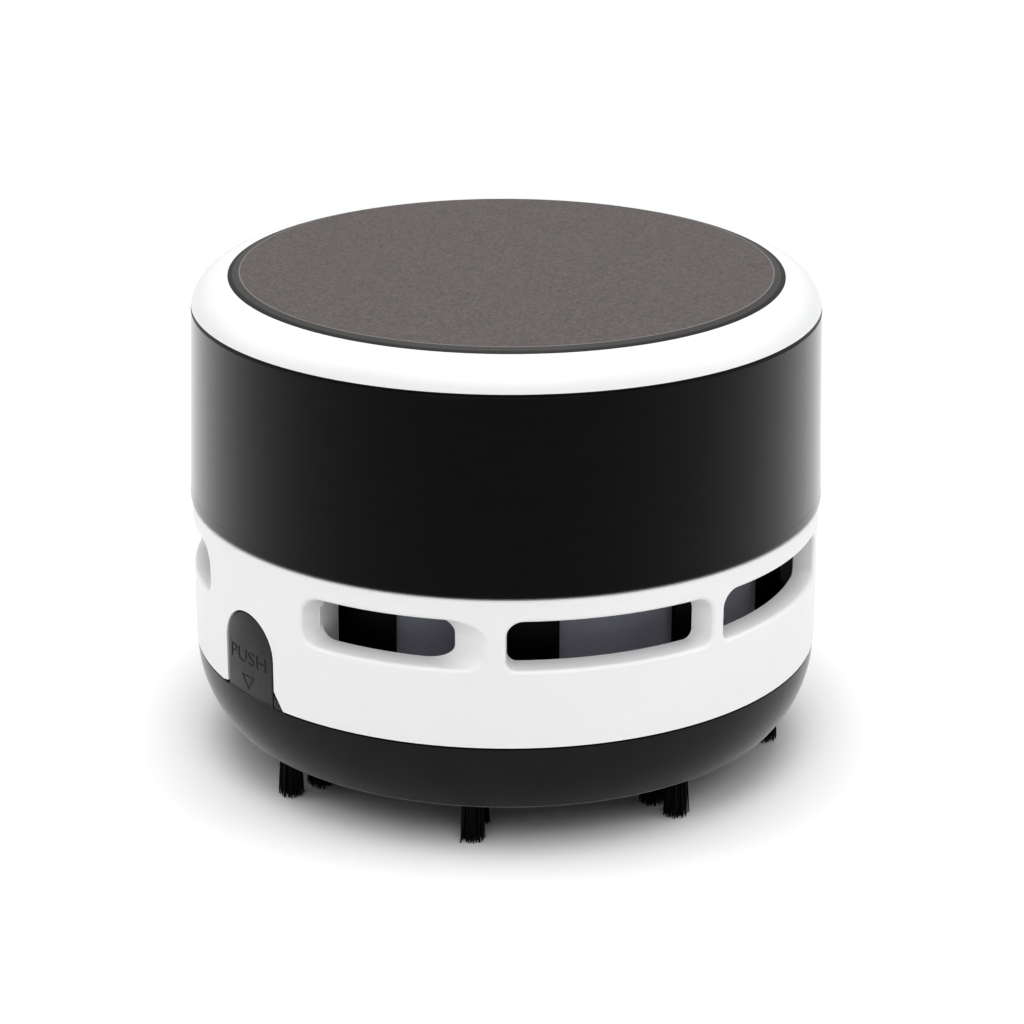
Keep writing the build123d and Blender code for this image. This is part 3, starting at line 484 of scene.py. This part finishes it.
def pick(piece, wanted):
    """Selects the vertices whose place passes a test."""
    shape = bmesh.from_edit_mesh(piece.data)
    for vertex in shape.verts:
        vertex.select_set(wanted(vertex.co))
    shape.select_flush(True)
    bmesh.update_edit_mesh(piece.data)


def outward():
    """All faces of the piece in edit mode turned outwards, and back to object mode."""
    bpy.ops.mesh.select_all(action="SELECT")
    bpy.ops.mesh.normals_make_consistent(inside=False)
    bpy.ops.object.mode_set(mode="OBJECT")


def applied(piece, kind, **settings):
    """Adds a modifier, sets it and applies it."""
    alone(piece)
    modifier = piece.modifiers.new(kind.lower(), kind)
    for name, value in settings.items():
        setattr(modifier, name, value)
    bpy.ops.object.modifier_apply(modifier=modifier.name)


def softened(piece, width, above=BEVEL_ABOVE):
    """Rounds the edges that turn by more than an angle."""
    applied(piece, "BEVEL", width=width, segments=2, limit_method="ANGLE", angle_limit=above)


def carved(piece, cutter):
    """Takes a cutter's shape out of a piece and uses the cutter up."""
    applied(piece, "BOOLEAN", operation="DIFFERENCE", solver="EXACT", object=cutter)
    bpy.data.objects.remove(cutter)


def block(size, place=(0, 0, 0), turn=0.0):
    """Block of a size at a place, turned about the vertical."""
    deselect()
    bpy.ops.mesh.primitive_cube_add(size=1, location=place, rotation=(0, 0, turn))
    piece = bpy.context.object
    piece.scale = size
    bpy.ops.object.transform_apply(location=False, rotation=True, scale=True)
    return piece


def risen(rise, grow):
    """Extrudes the ring that is selected upwards and resizes it across."""
    bpy.ops.mesh.extrude_region_move(TRANSFORM_OT_translate={"value": (0, 0, rise)})
    bpy.ops.transform.resize(value=(grow, grow, 1))


def copied(piece, place=(0, 0, 0), turn=(0, 0, 0)):
    """A copy with its own mesh, at a place and turned."""
    copy = piece.copy()
    copy.data = copy.data.copy()
    bpy.context.collection.objects.link(copy)
    copy.location = place
    copy.rotation_euler = turn
    return copy


def seat(piece, name, body, material, slot, *nodes):
    """Names a finished piece, scales it to metres, applies its place and hangs it on its body."""
    alone(piece)
    piece.name = piece.data.name = name
    piece.scale = (MM, MM, MM)
    piece.location = piece.location * MM
    bpy.ops.object.transform_apply(location=True, rotation=True, scale=True)
    piece.data.materials.clear()
    piece.data.materials.append(material)
    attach(piece, body)
    if nodes:
        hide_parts(*nodes)


# ---------------------------------------------------------------- brushes
# Millimetres, and degrees for the leans. A strand grows from its tip by steps of rise and
# widening.
TUFT_COUNT = 8
TUFT_RADII = (31.3, 36.0)
TUFT_FIRST_AZ = -141.5
TUFT_R = 1.4
TUFT_SHAPES = 5
TUFT_LEAN = 3.6
TRAY_UNDERSIDE = 5.6
ROOT_DEPTH = 1.2
ROOT_SHARE = 0.94
TIP_RAGGED = 0.32
GOLDEN_ANGLE = math.pi * (3 - math.sqrt(5))
AROUND_JITTER = 0.25
LEAN_JITTER = (0.6, 1.2)
SIDEWAYS_LEAN = 1.0
STRAY_SHARE = 0.03
STRAY_LEAN = 2.6
STRAND_SIDES = 5
STRAND_TIP = 0.6
STRAND_STEPS = ((1.3, 1.25), (1.9, 1.2), (1.9, 1.1), (1.7, 1.0))


class VACUUM_OT_brushes(bpy.types.Operator):
    """Tufts of fine nylon bristles under the tray"""

    bl_idname = "vacuum.brushes"
    bl_label = "Brushes"

    def execute(self, context):
        brushes = context.scene.vacuum_brushes
        draw = random.Random(brushes.seed)
        material = bristle_nylon()
        strand = self.strand(brushes.thickness / MM / 2)
        tufts = [self.tuft(strand, brushes.strands, draw) for _ in range(TUFT_SHAPES)]
        for i in range(TUFT_COUNT):
            angle = math.radians(TUFT_FIRST_AZ + 360 / TUFT_COUNT * i)
            for j, radius in enumerate(TUFT_RADII):
                number = len(TUFT_RADII) * i + j
                place = (radius * math.cos(angle), radius * math.sin(angle), 0)
                turn = (0, 0, draw.uniform(0, math.tau))
                copy = copied(tufts[number % TUFT_SHAPES], place, turn)
                seat(copy, f"tuft_{number + 1:02d}", "base", material, "bristle", "brush_tufts")
        for piece in [strand, *tufts]:
            bpy.data.objects.remove(piece)
        return {"FINISHED"}

    @staticmethod
    def strand(radius):
        """One bristle standing on its tip at the origin, thinner towards the floor."""
        deselect()
        bpy.ops.mesh.primitive_circle_add(
            vertices=STRAND_SIDES, radius=radius * STRAND_TIP, fill_type="NGON")
        piece = bpy.context.object
        bpy.ops.object.mode_set(mode="EDIT")
        for rise, grow in STRAND_STEPS:
            risen(rise, grow)
        outward()
        bpy.ops.object.shade_smooth()
        return piece

    @staticmethod
    def tuft(strand, count, draw):
        """A bundle of bristles that fans out from its socket towards the floor."""
        copies = []
        for i in range(count):
            share = math.sqrt((i + 0.5) / count)
            around = i * GOLDEN_ANGLE + draw.uniform(-AROUND_JITTER, AROUND_JITTER)
            stray = STRAY_LEAN if draw.random() < STRAY_SHARE else 1.0
            lean = math.radians(TUFT_LEAN * share * draw.uniform(*LEAN_JITTER) * stray)
            sideways = math.radians(draw.gauss(0, SIDEWAYS_LEAN))
            root = TUFT_R * share * ROOT_SHARE
            out = root + math.tan(lean) * (TRAY_UNDERSIDE + ROOT_DEPTH)
            place = (out * math.cos(around), out * math.sin(around), draw.uniform(0, TIP_RAGGED))
            copies.append(copied(strand, place, (sideways, -lean, around)))
        alone(copies[0])
        for copy in copies:
            copy.select_set(True)
        bpy.ops.object.join()
        piece = bpy.context.object
        bpy.ops.object.transform_apply(location=True, rotation=True, scale=True)
        return piece


# ---------------------------------------------------------------- release tabs
# Millimetres, and degrees for the turns. FACE_R and BACK_R are radii from the body's axis, and
# ROOT_PLACE is a radius and a height.
TAB_AZ = -142.0
TABS = (("front", TAB_AZ), ("rear", TAB_AZ + 180))
TAB_HALF = 5.05
TAB_TOP_Z = 27.05
TAB_FOOT_Z = 15.5
TAB_FOOT_RISE = 0.25
TAB_FACE_R = 42.1
TAB_BACK_R = 39.85
TAB_EDGE = 0.2
CROWN_STEPS = 64
BEND_STRIPS = 24
STOP_LAP = 1.0
STOP_FOOT_Z = 18.6
STOP_BACK_R = 38.9
CREASE_R = 0.11
CREASE_Z = 15.55
CREASE_OVER = 0.3
ROOT_R = 0.78
ROOT_PLACE = (40.9, 15.5)
ROD_SIDES = 16
ROD_EDGE = 0.3
WORD_X = -0.15
WORD_Z = 20.0
TRIANGLE_X = -0.15
TRIANGLE_Z = 17.72
TRIANGLE_R = 1.73
TRIANGLE_STROKE = 0.24
TRIANGLE_SQUASH = 0.74
WEB_SIZE = (1.8, 1.0, 2.3)
WEB_FACE_R = 42.0
WEB_FOOT_Z = 15.44
WEB_TURN = 8.2
WEB_EDGE = 0.06
WEB_BEVEL_ABOVE = math.radians(30)


class VACUUM_OT_tabs(bpy.types.Operator):
    """Release tabs with a word and a plain triangle pressed into their faces"""

    bl_idname = "vacuum.tabs"
    bl_label = "Release tabs"

    def execute(self, context):
        tabs = context.scene.vacuum_tabs
        black = black_plastic("tab_plastic", context.scene.vacuum_colours.tab_plastic)
        tab = self.tab(tabs.word, tabs.capitals / MM, tabs.width / MM, tabs.depth / MM)
        web = self.web()
        for name, azimuth in TABS:
            copy = copied(tab, turn=(0, 0, math.radians(azimuth + 90)))
            node = f"release_tab_{name}"
            seat(copy, f"push_tab_{name}", f"tab_{name}", black, "black_shell", node)
        for name, azimuth in TABS:
            copy = copied(web, turn=(0, 0, math.radians(azimuth + 90 + WEB_TURN)))
            seat(copy, f"corner_web_{name}", "base", black, "black_shell")
        for piece in (tab, web):
            bpy.data.objects.remove(piece)
        return {"FINISHED"}

    @classmethod
    def tab(cls, text, capitals, width, depth):
        """Curved face with its legend, the stop behind it, the crease and the root."""
        face = cls.plate(TAB_HALF, TAB_TOP_Z, TAB_FOOT_Z, TAB_FACE_R - TAB_BACK_R, TAB_FOOT_RISE)
        softened(face, TAB_EDGE)
        carved(face, cls.word(text, capitals, width, depth))
        carved(face, cls.triangle(depth))
        cls.bend(face, TAB_FACE_R)
        stop = cls.plate(
            TAB_HALF + STOP_LAP, TAB_TOP_Z + STOP_LAP, STOP_FOOT_Z, TAB_BACK_R - STOP_BACK_R, 0)
        softened(stop, TAB_EDGE)
        cls.bend(stop, TAB_BACK_R)
        crease = cls.rod(CREASE_R, 2 * TAB_HALF + CREASE_OVER, (0, 0, CREASE_Z))
        cls.bend(crease, TAB_FACE_R)
        root = cls.rod(ROOT_R, 2 * TAB_HALF, (0, -ROOT_PLACE[0], ROOT_PLACE[1]))
        alone(face)
        for part in (stop, crease, root):
            part.select_set(True)
        bpy.ops.object.join()
        return face

    @staticmethod
    def web():
        """Small slanted web on the tray, in the flared corner beside a tab."""
        wide, deep, tall = WEB_SIZE
        piece = block(WEB_SIZE, (0, deep / 2 - WEB_FACE_R, WEB_FOOT_Z + tall / 2))
        bpy.ops.object.transform_apply(location=True, rotation=False, scale=False)
        edit(piece)
        bpy.ops.mesh.select_all(action="SELECT")
        bpy.ops.mesh.bisect(
            plane_co=(wide / 2, 0, WEB_FOOT_Z), plane_no=(tall, 0, wide), use_fill=True,
            clear_outer=True)
        outward()
        softened(piece, WEB_EDGE, WEB_BEVEL_ABOVE)
        bpy.ops.object.shade_smooth_by_angle(angle=SMOOTH_BELOW)
        return piece

    @staticmethod
    def plate(half, top, foot, depth, foot_rise):
        """Flat plate with a half-round top, its face on Y = 0, its foot rising backwards."""
        crown = top - half
        deselect()
        bpy.ops.mesh.primitive_circle_add(
            vertices=CROWN_STEPS, radius=half, fill_type="NGON", rotation=(math.pi / 2, 0, 0))
        piece = bpy.context.object
        bpy.ops.object.transform_apply(location=False, rotation=True, scale=False)
        edit(piece)
        pick(piece, lambda place: place.z < -NEAR)
        bpy.ops.transform.resize(value=(1, 1, 0), center_override=(0, 0, 0))
        bpy.ops.transform.translate(value=(0, 0, foot - crown))
        bpy.ops.mesh.select_all(action="SELECT")
        bpy.ops.mesh.extrude_region_move(TRANSFORM_OT_translate={"value": (0, depth, 0)})
        bpy.ops.mesh.select_all(action="DESELECT")
        pick(piece, lambda place: place.y > depth / 2 and place.z < foot - crown + NEAR)
        bpy.ops.transform.translate(value=(0, 0, foot_rise))
        bpy.ops.mesh.select_all(action="SELECT")
        bpy.ops.transform.translate(value=(0, 0, crown))
        outward()
        return piece

    @staticmethod
    def word(text, capitals, width, depth):
        """Cutter in the shape of the word."""
        deselect()
        bpy.ops.object.text_add(rotation=(math.pi / 2, 0, 0))
        piece = bpy.context.object
        piece.data.body = text
        piece.data.extrude = depth
        bpy.ops.object.convert(target="MESH")
        bpy.ops.object.transform_apply(location=False, rotation=True, scale=False)
        low_x, high_x, low_z, high_z = (
            limit(corner[axis] for corner in piece.bound_box)
            for axis in (0, 2) for limit in (min, max))
        piece.location = (-(low_x + high_x) / 2, 0, -low_z)
        bpy.ops.object.transform_apply(location=True, rotation=False, scale=False)
        piece.scale = (width / (high_x - low_x), 1, capitals / (high_z - low_z))
        piece.location = (WORD_X, 0, WORD_Z)
        bpy.ops.object.transform_apply(location=True, rotation=False, scale=True)
        return piece

    @staticmethod
    def triangle(depth):
        """Cutter in the shape of a triangle's outline, pointing down."""
        deselect()
        bpy.ops.mesh.primitive_circle_add(
            vertices=3, radius=TRIANGLE_R, fill_type="NGON", rotation=(-math.pi / 2, 0, 0),
            location=(0, -depth, 0))
        piece = bpy.context.object
        bpy.ops.object.transform_apply(location=True, rotation=True, scale=False)
        edit(piece)
        bpy.ops.mesh.select_all(action="SELECT")
        bpy.ops.mesh.inset(thickness=TRIANGLE_STROKE)
        bpy.ops.mesh.delete(type="FACE")
        bpy.ops.mesh.select_all(action="SELECT")
        bpy.ops.mesh.extrude_region_move(TRANSFORM_OT_translate={"value": (0, 2 * depth, 0)})
        outward()
        piece.scale = (1, 1, TRIANGLE_SQUASH)
        piece.location = (TRIANGLE_X, 0, TRIANGLE_Z)
        bpy.ops.object.transform_apply(location=True, rotation=False, scale=True)
        return piece

    @staticmethod
    def bend(piece, radius):
        """Bends a flat plate round the vertical axis, its middle at the front."""
        edit(piece)
        half = piece.dimensions.x / 2
        bpy.ops.mesh.select_all(action="SELECT")
        bpy.ops.mesh.dissolve_degenerate(threshold=NEAR)
        for i in range(1, BEND_STRIPS):
            bpy.ops.mesh.select_all(action="SELECT")
            cut_x = half * (2 * i / BEND_STRIPS - 1)
            bpy.ops.mesh.bisect(plane_co=(cut_x, 0, 0), plane_no=(1, 0, 0))
        bpy.ops.object.mode_set(mode="OBJECT")
        applied(
            piece, "SIMPLE_DEFORM", deform_method="BEND", deform_axis="Z", angle=2 * half / radius)
        piece.location = (0, -radius, 0)
        bpy.ops.object.transform_apply(location=True, rotation=False, scale=False)
        bpy.ops.object.shade_smooth_by_angle(angle=SMOOTH_BELOW)

    @staticmethod
    def rod(radius, length, place):
        """Round bar laid across the tab, its ends softened."""
        deselect()
        bpy.ops.mesh.primitive_cylinder_add(
            vertices=ROD_SIDES, radius=radius, depth=length, location=place,
            rotation=(0, math.pi / 2, 0))
        piece = bpy.context.object
        bpy.ops.object.transform_apply(location=True, rotation=True, scale=False)
        softened(piece, radius * ROD_EDGE)
        bpy.ops.object.shade_smooth_by_angle(angle=SMOOTH_BELOW)
        return piece


# ---------------------------------------------------------------- screws
# Millimetres. Each row has the node, the screws' places, and the head's radius, its height and
# the shank's radius. A head grows from its crown by steps, each a share of its height and a
# widening.
SCREWS = (
    ("chassis_screws", ((9, 32), (-9, 32), (9, -32), (-9, -32)), (2.5, 1.2, 1.15)),
    ("motor_screws", ((8, 0), (-8, 0)), (1.9, 0.9, 1.0)),
)
SCREW_STEPS = 32
CROWN_SHARE = 0.72
HEAD_STEPS = ((0.22, 1.28), (0.3, 1.085), (0.48, 1.0))
POINT_SHARE = 0.25
CROSS_SHARES = (1.05, 0.2, 1.1)


def cross_screw(length, head_r, head, shank_r):
    """Pan-head screw standing on its head, with a cross recess underneath."""
    deselect()
    bpy.ops.mesh.primitive_circle_add(
        vertices=SCREW_STEPS, radius=head_r * CROWN_SHARE, fill_type="NGON")
    piece = bpy.context.object
    edit(piece)
    bpy.ops.mesh.select_all(action="SELECT")
    for share, grow in HEAD_STEPS:
        risen(head * share, grow)
    risen(0, shank_r / head_r)
    risen(length - head - shank_r, 1.0)
    risen(shank_r, POINT_SHARE)
    outward()
    long, wide, deep = CROSS_SHARES
    for turn in (0, math.pi / 2):
        carved(piece, block((head_r * long, head_r * wide, head * deep), turn=turn))
    bpy.ops.object.shade_smooth_by_angle(angle=SMOOTH_BELOW)
    return piece


# ---------------------------------------------------------------- shells
class VACUUM_OT_shells(bpy.types.Operator):
    """Finishes of the cap, disc, drum, ring, tray and switch knob"""

    bl_idname = "vacuum.shells"
    bl_label = "Shells"

    def execute(self, context):
        colours = context.scene.vacuum_colours
        black = black_plastic("black_plastic", colours.black_plastic)
        dress("exhaust_ring", white_plastic("white_plastic", colours.white_plastic))
        # Painted shade: the cap gets a darker copy of the white plastic, because its top takes the
        # most light.
        dress("cap_shell", white_plastic("cap_white_painted_shade", colours.cap_white_painted_shade))
        dress("drum_sleeve", drum_film())
        dress("top_disc", disc_grain())
        for node in ("base_shell", "switch_knob"):
            dress(node, black)
        return {"FINISHED"}


# ---------------------------------------------------------------- seams
# Outlines are closed loops of radii and heights in millimetres. The hoop of painted shadow in
# the gap is broken where the tabs stand.
HOOP_STEPS = 300
HOOP_SMOOTH_BELOW = math.radians(40)
HEM_OUTLINE = (
    (41.9, 35.7), (42.14, 35.685), (42.28, 35.735), (42.39, 35.82), (42.47, 35.94),
    (42.505, 36.08), (42.496, 36.3), (42.4555, 37.3), (42.3, 37.31), (41.9, 36.2))
SHOULDER_OUTLINE = (
    (41.6, 35.2), (42.2, 34.7), (42.31, 34.7), (42.318, 35.17), (42.295, 35.34),
    (42.225, 35.48), (42.12, 35.59), (41.98, 35.655), (41.82, 35.667), (41.6, 35.66))
GAP_OUTLINE = (
    (41.5, 15.33), (42.07, 15.345), (42.11, 15.375), (42.11, 15.575), (42.09, 15.595),
    (41.5, 15.595))
GAP_BREAK = (100, 14.8, 2)
SEAM_HOOPS = (
    ("drum_hem", "drum_sleeve", "black_drum", HEM_OUTLINE),
    ("ring_shoulder", "exhaust_ring", "white_shell", SHOULDER_OUTLINE),
)


class VACUUM_OT_seams(bpy.types.Operator):
    """Smooth hoops that edge the drum and the ring, and a near-black hoop of painted shadow in the
    gap under the ring
    """

    bl_idname = "vacuum.seams"
    bl_label = "Seams"

    def execute(self, context):
        for name, node, slot, outline in SEAM_HOOPS:
            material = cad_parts[node].material_slots[0].material
            seat(hoop(outline), name, "housing", material, slot)
        # Painted shadow: a near-black hoop laid in the gap under the ring, broken where the tabs
        # stand.
        gap = hoop(GAP_OUTLINE)
        carved(gap, block(GAP_BREAK, (0, 0, GAP_OUTLINE[0][1]), math.radians(TAB_AZ)))
        bpy.ops.object.shade_smooth_by_angle(angle=HOOP_SMOOTH_BELOW)
        seat(gap, "tray_gap_painted_shadow", "base", gap_shade(), "black_shell")
        return {"FINISHED"}


def hoop(outline):
    """Closed hoop about the vertical axis, from the radii and heights of its outline."""
    deselect()
    (radius, height), *rest = outline
    bpy.ops.mesh.primitive_circle_add(vertices=HOOP_STEPS, radius=radius, location=(0, 0, height))
    piece = bpy.context.object
    bpy.ops.object.transform_apply(location=True, rotation=False, scale=False)
    edit(piece)
    bpy.ops.mesh.select_all(action="SELECT")
    for next_radius, next_height in (*rest, outline[0]):
        risen(next_height - height, next_radius / radius)
        radius, height = next_radius, next_height
    bpy.ops.mesh.select_all(action="SELECT")
    bpy.ops.mesh.remove_doubles(threshold=NEAR)
    outward()
    bpy.ops.object.shade_smooth_by_angle(angle=HOOP_SMOOTH_BELOW)
    return piece


# ---------------------------------------------------------------- inside
class VACUUM_OT_inside(bpy.types.Operator):
    """Finishes of the filter, fan, motor, chassis, cells, contacts and switch"""

    bl_idname = "vacuum.inside"
    bl_label = "Inside"

    def execute(self, context):
        dark = frame_plastic()
        steel = plated("zinc_steel", STEEL_COLOUR, roughness=0.3)
        nickel = plated("nickel_plate", NICKEL_COLOUR, roughness=0.22)
        brass = plated("brass", BRASS_COLOUR, roughness=0.3)
        for node in ("filter_frame", "fan_plate", "chassis"):
            dress(node, dark)
        for node in ("motor_endbell", "switch_body"):
            dress(node, dark)
        dress("filter_mesh", filter_weave())
        dress("impeller", impeller_plastic())
        for node in ("motor_can", "motor_shaft"):
            dress(node, steel)
        self.screws(steel)
        for node in ("contact_plates", "contact_springs", "contact_bridge", "switch_frame"):
            dress(node, nickel)
        for node in ("motor_terminals", "motor_bushes"):
            dress(node, brass)
        for name, side in (("left", -1), ("right", 1)):
            dress(f"battery_{name}", cell_wrap(name, side))
        red = lead_sleeve("lead_red", RED_SLEEVE)
        for node in ("lead_motor_switch", "lead_switch_cell"):
            dress(node, red)
        dress("lead_motor_cell", lead_sleeve("lead_black", BLACK_SLEEVE))
        return {"FINISHED"}

    @staticmethod
    def screws(steel):
        """Cross-head screws, head down, in place of the plain ones."""
        for node, places, sizes in SCREWS:
            low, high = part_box(node)
            first = cross_screw((high.z - low.z) / MM, *sizes)
            for i, (x, y) in enumerate(places):
                copy = copied(first, (x, y, low.z / MM))
                seat(copy, f"{node}_{i + 1}", "housing", steel, "steel", node)
            bpy.data.objects.remove(first)


# ---------------------------------------------------------------- stage
# Metres, but for the sensor's millimetres. A light has its name, place, size and watts.
FLOOR_R = 1.15
FLOOR_STEPS = 96
FLOOR_TONE = (0.81, 0.81, 0.81)
SENSOR_WIDTH = 36
NEAREST_SEEN = 0.01
SOFT_LIGHTS = (
    ("top_softbox", (0, 0.1, 1.6), 1.6, 19.0),
    ("left_softbox", (-1.5, 0.2, 0.85), 1.4, 6.2),
    ("right_softbox", (1.5, 0.0, 0.8), 1.4, 6.8),
    ("front_softbox", (0, -1.1, 1.3), 1.4, 11.4),
)


class VACUUM_OT_stage(bpy.types.Operator):
    """Pale floor, white room, soft lights and camera"""

    bl_idname = "vacuum.stage"
    bl_label = "Stage"

    def execute(self, context):
        studio = context.scene.vacuum_studio
        self.floor()
        self.room(context.scene, studio)
        for name, place, size, power in SOFT_LIGHTS:
            self.soft_light(name, place, size, power)
        self.camera(context.scene, studio)
        return {"FINISHED"}

    @staticmethod
    def floor():
        """Round sheet of matt paper."""
        deselect()
        bpy.ops.mesh.primitive_circle_add(vertices=FLOOR_STEPS, radius=FLOOR_R, fill_type="NGON")
        floor = bpy.context.object
        floor.name = "floor"
        paper, _, _ = new_finish(
            "floor_paper", FLOOR_TONE, roughness=0.8, Specular_IOR_Level=0.1)
        floor.data.materials.append(paper)

    @staticmethod
    def room(scene, studio):
        """White all round, dimmer as a light than to the camera, which hides the floor's edge."""
        world = bpy.data.worlds.new("white_room")
        world.use_nodes = True
        tree = world.node_tree
        background = tree.nodes["Background"]
        background.inputs["Color"].default_value = (1, 1, 1, 1)
        path = tree.nodes.new("ShaderNodeLightPath")
        strength = tree.nodes.new("ShaderNodeMapRange")
        strength.inputs["To Min"].default_value = studio.room
        strength.inputs["To Max"].default_value = 1
        tree.links.new(path.outputs["Is Camera Ray"], strength.inputs["Value"])
        tree.links.new(strength.outputs["Result"], background.inputs["Strength"])
        scene.world = world
        scene.view_settings.view_transform = "Standard"
        scene.view_settings.gamma = studio.contrast

    @staticmethod
    def soft_light(name, place, size, power):
        """Round soft box that faces the middle of the floor."""
        deselect()
        bpy.ops.object.light_add(type="AREA", location=place)
        light = bpy.context.object
        light.name = name
        light.data.shape = "DISK"
        light.data.size = size
        light.data.energy = power
        aim = -light.location
        light.rotation_euler = aim.to_track_quat("-Z", "Y").to_euler()

    @staticmethod
    def camera(scene, studio):
        """Camera in front, above the point it looks at."""
        deselect()
        across = studio.distance * math.cos(studio.pitch)
        above = studio.distance * math.sin(studio.pitch)
        place = (studio.aim[0], studio.aim[1] - across, studio.aim[2] + above)
        bpy.ops.object.camera_add(location=place, rotation=(math.pi / 2 - studio.pitch, 0, 0))
        camera = bpy.context.object
        camera.rotation_euler.rotate_axis("Z", studio.roll)
        camera.data.lens = studio.lens
        camera.data.sensor_width = SENSOR_WIDTH
        camera.data.clip_start = NEAREST_SEEN
        scene.camera = camera


# ---------------------------------------------------------------- panel and registration
STEPS = (
    VACUUM_OT_shells, VACUUM_OT_seams, VACUUM_OT_inside, VACUUM_OT_tabs, VACUUM_OT_brushes,
    VACUUM_OT_stage)
GROUPS = {
    "vacuum_colours": VacuumColours, "vacuum_tabs": VacuumTabs, "vacuum_brushes": VacuumBrushes,
    "vacuum_studio": VacuumStudio}


class VACUUM_PT_build(bpy.types.Panel):
    """Sidebar panel that lists the settings and the building steps"""

    bl_label = "Desk Vacuum"
    bl_idname = "VACUUM_PT_build"
    bl_space_type = "VIEW_3D"
    bl_region_type = "UI"
    bl_category = "Desk Vacuum"

    def draw(self, context):
        for name in GROUPS:
            group = getattr(context.scene, name)
            box = self.layout.box()
            for setting in group.__annotations__:
                box.prop(group, setting)
        for step in STEPS:
            self.layout.operator(step.bl_idname)


def register():
    """Registers the settings, the building steps and the panel."""
    for made in (*GROUPS.values(), *STEPS, VACUUM_PT_build):
        bpy.utils.register_class(made)
    for name, group in GROUPS.items():
        setattr(bpy.types.Scene, name, bpy.props.PointerProperty(type=group))


def unregister():
    """Takes them out again."""
    for name in GROUPS:
        delattr(bpy.types.Scene, name)
    for made in (VACUUM_PT_build, *reversed(STEPS), *reversed(GROUPS.values())):
        bpy.utils.unregister_class(made)


def main():
    """Runs the building steps."""
    register()
    for step in STEPS:
        area, name = step.bl_idname.split(".")
        getattr(getattr(bpy.ops, area), name)()


if __name__ == "__main__":
    main()
